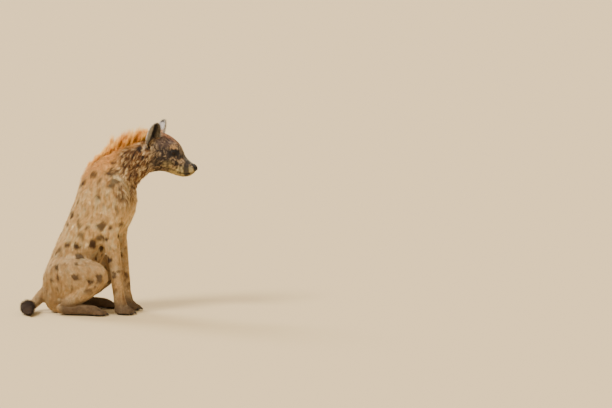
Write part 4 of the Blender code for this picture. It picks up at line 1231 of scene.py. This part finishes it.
def make_mane(skin):
    """The upright brush along the neck, in loose clumps that lean towards the head."""
    draw = np.random.default_rng(11)
    corners, corner_normals = skin_triangles(skin)
    local = corners.mean(1) - SHIFT_ARRAY
    up_side = corner_normals.mean(1)[:, 2]
    stations = np.array(MANE)[::-1]
    height = np.interp(local[:, 0], stations[:, 0], stations[:, 2], left=0, right=0)
    crest = np.interp(local[:, 0], stations[:, 0], stations[:, 1])
    wide = np.abs(local[:, 1])
    grows = smoothstep(MANE_HALF_WIDTH, 0.018, wide) * (up_side > 0.2)
    grows = grows * (np.abs(local[:, 2] - crest) < 0.04) * smoothstep(0.004, 0.020, height)
    places, ups = scatter(corners, corner_normals, grows * MANE_HAIRS * FEWER, draw)
    local = places - SHIFT_ARRAY
    number = len(places)
    height = np.interp(local[:, 0], stations[:, 0], stations[:, 2])
    clumps = places[draw.integers(0, number, MANE_CLUMPS)]
    gaps = np.linalg.norm(places[:, None, :2] - clumps[None, :, :2], axis=2)
    centre = clumps[gaps.argmin(1)]
    pull = (centre - places)[:, :2] * smoothstep(0.012, 0.042, height)[:, None]
    clump_lean = soft_noise(centre, 0.018, 21)
    clump_size = 1.02 + 0.28 * soft_noise(centre, 0.010, 22) * smoothstep(0.020, 0.050, height)
    edge = np.clip(np.abs(local[:, 1]) / MANE_HALF_WIDTH, 0, 1)
    tall = (height * (1 - 0.62 * edge ** 2) + 0.011) * clump_size * draw.uniform(0.66, 1.14, number)
    lean = 0.40 + 0.22 * clump_lean + draw.normal(0, 0.08, number)
    splay = local[:, 1] / MANE_HALF_WIDTH * (0.55 + 0.55 * edge ** 2)
    splay = splay + draw.normal(0, 0.07, number)
    steps = [places - ups * 0.002]
    for share, forward in ((0.30, 1.5), (0.35, 0.95), (0.35, 0.55)):
        rise_by = tall * share
        outward = rise_by * splay * (1.5 - forward * 0.4)
        step = np.column_stack((rise_by * lean * forward, outward, rise_by))
        step[:, :2] += pull * share * 0.95
        steps.append(steps[-1] + step)
    spines = np.stack(steps, axis=1)
    widths = draw.uniform(0.0009, 0.0018, number) * WIDER
    turn = draw.uniform(0, math.pi, number)
    side = np.column_stack((np.cos(turn), np.sin(turn), np.zeros(number)))
    unwrapped = spread_out(local[:, 0], local[:, 1])
    tones = np.clip(0.5 + 0.28 * soft_noise(centre, 0.010, 23) + draw.normal(0, 0.17, number), 0, 1)
    piece = lay_hairs("mane_hair", places, spines, side, widths, unwrapped, tones)
    material = long_hair_finish("mane", MANE_DARK, MANE_LIGHT, 0.70)
    finish_piece(piece, "mane_hair", material, "mane")


def make_tail_tuft():
    """The bushy end of the tail: long hairs that leave its core and run on past its end."""
    draw = np.random.default_rng(5)
    number = int(TUFT_HAIRS * FEWER)
    stations = np.array([row[:3] for row in TUFT])
    radii = np.array([row[3:] for row in TUFT])
    marks = np.linspace(0, 1, len(TUFT))
    start = draw.uniform(0.0, 0.86, number) ** 0.85
    reach = draw.uniform(0.16, 0.46, number)
    angle = draw.uniform(0, 2 * math.pi, number)
    wave = draw.normal(0, 0.26, number)
    fill = 0.08 + 1.0 * np.sqrt(draw.random(number))
    steps = []
    for share in (0.0, 0.33, 0.66, 1.0):
        at = np.minimum(start + reach * share, TUFT_END)
        middle = np.column_stack([np.interp(at, marks, stations[:, axis]) for axis in range(3)])
        middle[:, 1] -= np.maximum(at - 1, 0) * 0.10
        narrow = 1 - 0.55 * smoothstep(1.0, TUFT_END, at)
        flat = np.interp(at, marks, radii[:, 0]) * narrow
        tall = np.interp(at, marks, radii[:, 1]) * narrow
        rest = np.minimum(fill, 0.35)
        out = rest + (fill - rest) * share ** 0.7
        turn = angle + wave * share
        offset = (np.cos(turn) * tall * out, np.zeros(number), np.sin(turn) * flat * out)
        steps.append(middle + np.column_stack(offset))
    spines = np.stack(steps, axis=1) + SHIFT_ARRAY
    spines[:, :, 2] = np.maximum(spines[:, :, 2], TUFT_OVER_FLOOR)
    ups = np.column_stack((np.cos(angle), np.zeros(number), np.sin(angle)))
    widths = draw.uniform(0.0012, 0.0024, number) * WIDER
    unwrapped = 0.01 + 0.98 * np.column_stack((angle / (2 * math.pi), start / start.max()))
    tones = np.clip(0.45 + draw.normal(0, 0.25, number), 0, 1)
    piece = lay_hairs("tail_tuft_hair", spines[:, 0], spines, ups, widths, unwrapped, tones)
    material = long_hair_finish("tail_hair", TAIL_BLACK, TAIL_BROWN)
    finish_piece(piece, "tail_hair", material, "tail_tuft")


# Eyes, nose, whiskers and claws.

def eye_finish(name, centre, look):
    """A wet dark eye with an amber-brown iris, drawn round its line of sight."""
    finish = Finish(name)
    offset = finish.vector("SUBTRACT", finish.object_place(), tuple(centre))
    way = finish.node("ShaderNodeVectorMath", {"operation": "NORMALIZE"}, {0: offset})
    facing = finish.vector("DOT_PRODUCT", way, look, "Value")
    fibre = finish.noise(offset, 900.0, 3.0)
    iris = finish.mix(finish.rise(facing + (fibre - 0.5) * 0.03, 0.880, 0.955), IRIS_EDGE, IRIS)
    pupil = finish.rise(facing, 0.966, 0.972)
    colour = finish.mix(finish.rise(facing, 0.830, 0.850), EYE_WHITE, iris)
    colour = finish.mix(pupil, colour, BARE_BLACK)
    return finish.surface(colour, 0.05, None, Specular_IOR_Level=0.22)


def bare_skin_finish(name, dark, light, strength, dull):
    """Bare black skin with a pebbled surface of this strength, shinier where dull is less."""
    finish = Finish(name)
    place = finish.object_place()
    cell = finish.node("ShaderNodeTexVoronoi", None, {"Vector": place, "Scale": PEBBLES})
    worn = finish.noise(place, 160.0, 3.0)
    colour = finish.mix(finish.rise(worn, 0.35, 0.75), dark, light)
    roughness = finish.rise(cell, 0.0, 0.6) * 0.20 + dull
    relief = finish.bump(cell, strength, 0.0006)
    return finish.surface(colour, roughness, relief, Specular_IOR_Level=0.35)


def make_eye(side, name):
    """An eyeball with its bulging cornea, and its bare black lids, each a cap cut from a ball."""
    mirror = Vector((1, -side, 1))
    centre = SHIFT + EYE_AT * mirror
    look, slant = EYE_LOOK * mirror, EYE_SLANT * mirror
    ball = add_ball(centre, EYE_RADIUS, 48, 32)
    ball.name = "eyeball_" + name
    ball.rotation_euler = look.to_track_quat("Z", "Y").to_euler()
    bpy.ops.object.transform_apply(location=True, rotation=True, scale=True)
    points = points_of(ball)
    out = unit(points - np.array(centre))
    bulge = smoothstep(0.86, 0.97, out @ np.array(look)) * CORNEA_RISE
    move_points(ball, points + out * bulge[:, None])
    bpy.ops.object.shade_smooth()
    finish_piece(ball, "eyeball", eye_finish("eye_" + name, centre, look), "eye_" + name)

    across = look.cross(slant).normalized()
    if across.z < 0:
        across.negate()
    along = across.cross(look).normalized()
    corner_level = math.sqrt(EYE_RADIUS ** 2 - LID_CORNER ** 2)
    lids = []
    for edge in (UPPER_LID, LOWER_LID):
        rise = math.sqrt(EYE_RADIUS ** 2 - edge ** 2) - corner_level
        normal = (across * rise - look * edge) * math.copysign(1, edge)
        lid = add_ball(centre, EYE_RADIUS + LID_THICKNESS, 56, 40)
        with editing(lid):
            bpy.ops.mesh.bisect(
                plane_co=centre + look * corner_level,
                plane_no=normal.normalized(),
                use_fill=True,
                clear_inner=True,
            )
        bpy.ops.object.transform_apply(location=True, rotation=True, scale=True)
        apply_modifier(lid, "BEVEL", width=0.0005, segments=3, limit_method="ANGLE")
        lids.append(lid)
    lid = joined(lids, "eyelids_" + name)
    bpy.ops.object.shade_smooth_by_angle(angle=CREASE)
    return lid


def make_nose():
    """The bare nose with its nostrils, finer than its solid."""
    nose = copy_of_nodes(["nose"], "nose_leather")
    apply_modifier(nose, "REMESH", mode="VOXEL", voxel_size=NOSE_VOXEL)
    full = points_of(nose)
    apply_modifier(nose, "SMOOTH", factor=0.5, iterations=60)
    points = points_of(nose)
    stretch = np.ptp(full, axis=0) / np.ptp(points, axis=0)
    move_points(nose, (points - points.min(0)) * stretch + full.min(0))
    points, normals = points_of(nose), normals_of(nose)
    local = points - SHIFT_ARRAY
    wide = -np.abs(local[:, 1])
    local[:, 1] = wide
    hole = np.linalg.norm((local - NOSTRIL_AT) / NOSTRIL_HALF_SIZE, axis=1)
    outward = wide - NOSTRIL_AT[1]
    slit = hump(local[:, 2] - (NOSTRIL_AT[2] + outward * 0.35 + outward ** 2 * 55), 0.0014)
    slit = slit * smoothstep(-0.0270, -0.0225, wide) * smoothstep(-0.0100, -0.0135, wide)
    groove = hump(wide, 0.0010) * smoothstep(0.740, 0.730, local[:, 2])
    sink = NOSTRIL_DEPTH * np.exp(-(hole ** 4)) + SLIT_DEPTH * slit + NOSE_GROOVE_DEPTH * groove
    sink = (sink - hump(hole - 1.55, 0.45) * RIM_RISE) * smoothstep(0.0, 0.3, normals[:, 0])
    move_points(nose, points - normals * sink[:, None])
    apply_modifier(nose, "SMOOTH", factor=0.4, iterations=2)
    bpy.ops.object.shade_smooth()
    material = bare_skin_finish("nose", BARE_BLACK, NOSE_GREY, 0.6, 0.32)
    finish_piece(nose, "nose_skin", material, "nose")
    return nose


def make_claw(root, tip):
    """One blunt claw: a ring drawn out from its root, bent down and narrowed towards its end."""
    deselect_all()
    bpy.ops.mesh.primitive_circle_add(vertices=10, radius=CLAW_RADIUS, fill_type="NGON")
    claw = bpy.context.object
    length = (tip - root).length
    with editing(claw):
        for reach, narrow, dip in CLAW_STEPS:
            bpy.ops.mesh.extrude_region_move(
                TRANSFORM_OT_translate={"value": (dip * length, 0.0, reach * length)}
            )
            bpy.ops.transform.resize(value=(narrow, narrow * 0.98, 1.0))
    way = (tip - root).normalized()
    down = way.cross(Vector((0, 1, 0)))
    if down.z > 0:
        down.negate()
    axes = np.array((down, way.cross(down), way))
    move_points(claw, points_of(claw) * (1, CLAW_FLATNESS, 1) @ axes + np.array(root))
    with editing(claw):
        bpy.ops.mesh.normals_make_consistent(inside=False)
    bpy.ops.object.shade_smooth_by_angle(angle=CREASE)
    return claw


def make_claws(material):
    """Four claws on each foot, a foot's claws joined."""
    for foot, toes in (("forefoot", FORE_TOES), ("hindfoot", HIND_TOES)):
        for side, name in SIDES:
            claws = []
            half, height = toes["half"], toes["height"]
            for place in TOE_PLACES:
                reach = toes["reach"][0 if abs(place) > 1 else 1]
                y = (toes["y"] + place * half * TOE_PITCH) * -side
                root = SHIFT + Vector((reach - half * 0.62, y, height * 0.98))
                tip = root + Vector((CLAW_LENGTH + half * 0.12, 0.0, -height * 0.68))
                claws.append(make_claw(root, tip))
            finish_piece(joined(claws, f"claws_{foot}_{name}"), "foot_fur", material)


def claw_finish():
    """Dark horn, paler in lines along its length."""
    finish = Finish("claw")
    place = finish.object_place()
    line = finish.noise(finish.stretched(place, (90.0, 900.0, 700.0)), 1.0, 3.0)
    colour = finish.mix(finish.rise(line, 0.35, 0.70), CLAW_DARK, CLAW_PALE)
    return finish.surface(colour, 0.48, finish.bump(line, 0.35, 0.0004), Specular_IOR_Level=0.35)


def make_whiskers(skin):
    """Stiff hairs on the upper lip and over the eye."""
    draw = np.random.default_rng(3)
    roots, tips = [], []
    for side in (-1, 1):
        for row, step in [(row, step) for row in range(4) for step in range(5)]:
            base = (0.468 - step * 0.009, side * 0.060, 0.722 + row * 0.006 - step * 0.001)
            hit, place, _, _ = skin.ray_cast(SHIFT + Vector(base), Vector((0, -side, 0)))
            if hit:
                length = 0.022 + 0.006 * step + draw.uniform(-0.004, 0.006)
                drop = 0.30 + 0.12 * row - draw.uniform(-0.1, 0.1)
                way = Vector((-0.45 - 0.08 * step, side * 0.85, -drop))
                roots.append(place)
                tips.append(place + way.normalized() * length)
        for step in range(4):
            base = (0.392 - step * 0.006, side * 0.090, 0.834 + step * 0.001)
            hit, place, _, _ = skin.ray_cast(SHIFT + Vector(base), Vector((0, -side, 0)))
            if hit:
                way = Vector((-0.25, side * 0.75, 0.55 + draw.uniform(-0.1, 0.1)))
                roots.append(place)
                tips.append(place + way.normalized() * (0.020 + 0.003 * step))
    roots, tips = np.array(roots), np.array(tips)
    lengths = np.linalg.norm(tips - roots, axis=1)
    steps = []
    for share in (0.0, 0.33, 0.66, 1.0):
        place = roots + (tips - roots) * share
        place[:, 2] -= lengths * 0.22 * share ** 2
        steps.append(place)
    spines = np.stack(steps, axis=1)
    count = len(roots)
    ups = np.tile([0.0, 0.0, 1.0], (count, 1))
    unwrapped = np.column_stack((np.linspace(0.02, 0.98, count), np.full(count, 0.5)))
    widths = np.full(count, 0.00055)
    piece = lay_hairs("whiskers", roots, spines, ups, widths, unwrapped, draw.uniform(0, 1, count))
    finish_piece(piece, "face_fur", long_hair_finish("whisker", BARE_BLACK, MUZZLE))


# The skin and its coat.

skin = make_skin()
for field_name, shares in zip(("inner", "rim"), ear_shares(points_of(skin), normals_of(skin))):
    set_field(skin.data, field_name, shares)
finish_piece(skin, "coat", skin_finish(), *FLESH)
nose = make_nose()
coat_material = coat_finish()
make_coat(skin, nose, coat_material)
make_ear_hair(skin)
make_mane(skin)
make_tail_tuft()
bare_skin = bare_skin_finish("eyelid", BARE_BLACK, EYE_PATCH, 0.10, 0.58)
for eye_side, eye_name in SIDES:
    finish_piece(make_eye(eye_side, eye_name), "face_fur", bare_skin)
make_claws(claw_finish())
make_whiskers(skin)


# The floor, the light and the camera.

FLOOR_SIZE, SENSOR_WIDTH, SEEN_TO = 260.0, 36.0, 400.0
CAMERA_TURN, CAMERA_RISE, CAMERA_AWAY = math.radians(8), math.radians(6), 20.0
FRAME_WIDTH, MIDDLE_RIGHT, MIDDLE_UP = 3.06, 1.03, 0.54

bpy.ops.mesh.primitive_plane_add(size=FLOOR_SIZE, location=(0.0, 0.0, 0.0))
floor = bpy.context.object
floor.name = "floor"
floor_finish = Finish("floor")
floor.data.materials.append(floor_finish.surface(FLOOR_SAND, 0.9))

world = bpy.data.worlds.new("studio")
bpy.context.scene.world = world
world.use_nodes = True
background = world.node_tree.nodes["Background"]
background.inputs["Color"].default_value = SKY_CREAM
background.inputs["Strength"].default_value = 1.10


def soft_sun(name, place, spread, strength, colour):
    """A broad even light that shines from this side on animal and floor alike."""
    bpy.ops.object.light_add(type="SUN", location=place)
    lamp = bpy.context.object
    lamp.name = name
    lamp.data.angle = math.radians(spread)
    lamp.data.energy = strength
    lamp.data.color = colour
    lamp.rotation_euler = (-Vector(place)).to_track_quat("-Z", "Y").to_euler()


soft_sun("key", (-1.6, -2.4, 3.0), 20.0, 4.2, (1.0, 0.95, 0.86))
soft_sun("rim", (-2.4, 2.0, 2.6), 25.0, 2.6, (1.0, 0.96, 0.90))

right = Vector((math.cos(CAMERA_TURN), math.sin(CAMERA_TURN), 0.0))
back = Vector((
    math.sin(CAMERA_TURN) * math.cos(CAMERA_RISE),
    -math.cos(CAMERA_TURN) * math.cos(CAMERA_RISE),
    math.sin(CAMERA_RISE),
))
up = back.cross(right)
aim = SHIFT + right * MIDDLE_RIGHT + up * MIDDLE_UP
bpy.ops.object.camera_add(location=aim + back * CAMERA_AWAY)
camera = bpy.context.object
camera.rotation_euler = (-back).to_track_quat("-Z", "Y").to_euler()
camera.data.sensor_width = SENSOR_WIDTH
camera.data.lens = SENSOR_WIDTH * CAMERA_AWAY / FRAME_WIDTH
camera.data.clip_end = SEEN_TO
bpy.context.scene.camera = camera
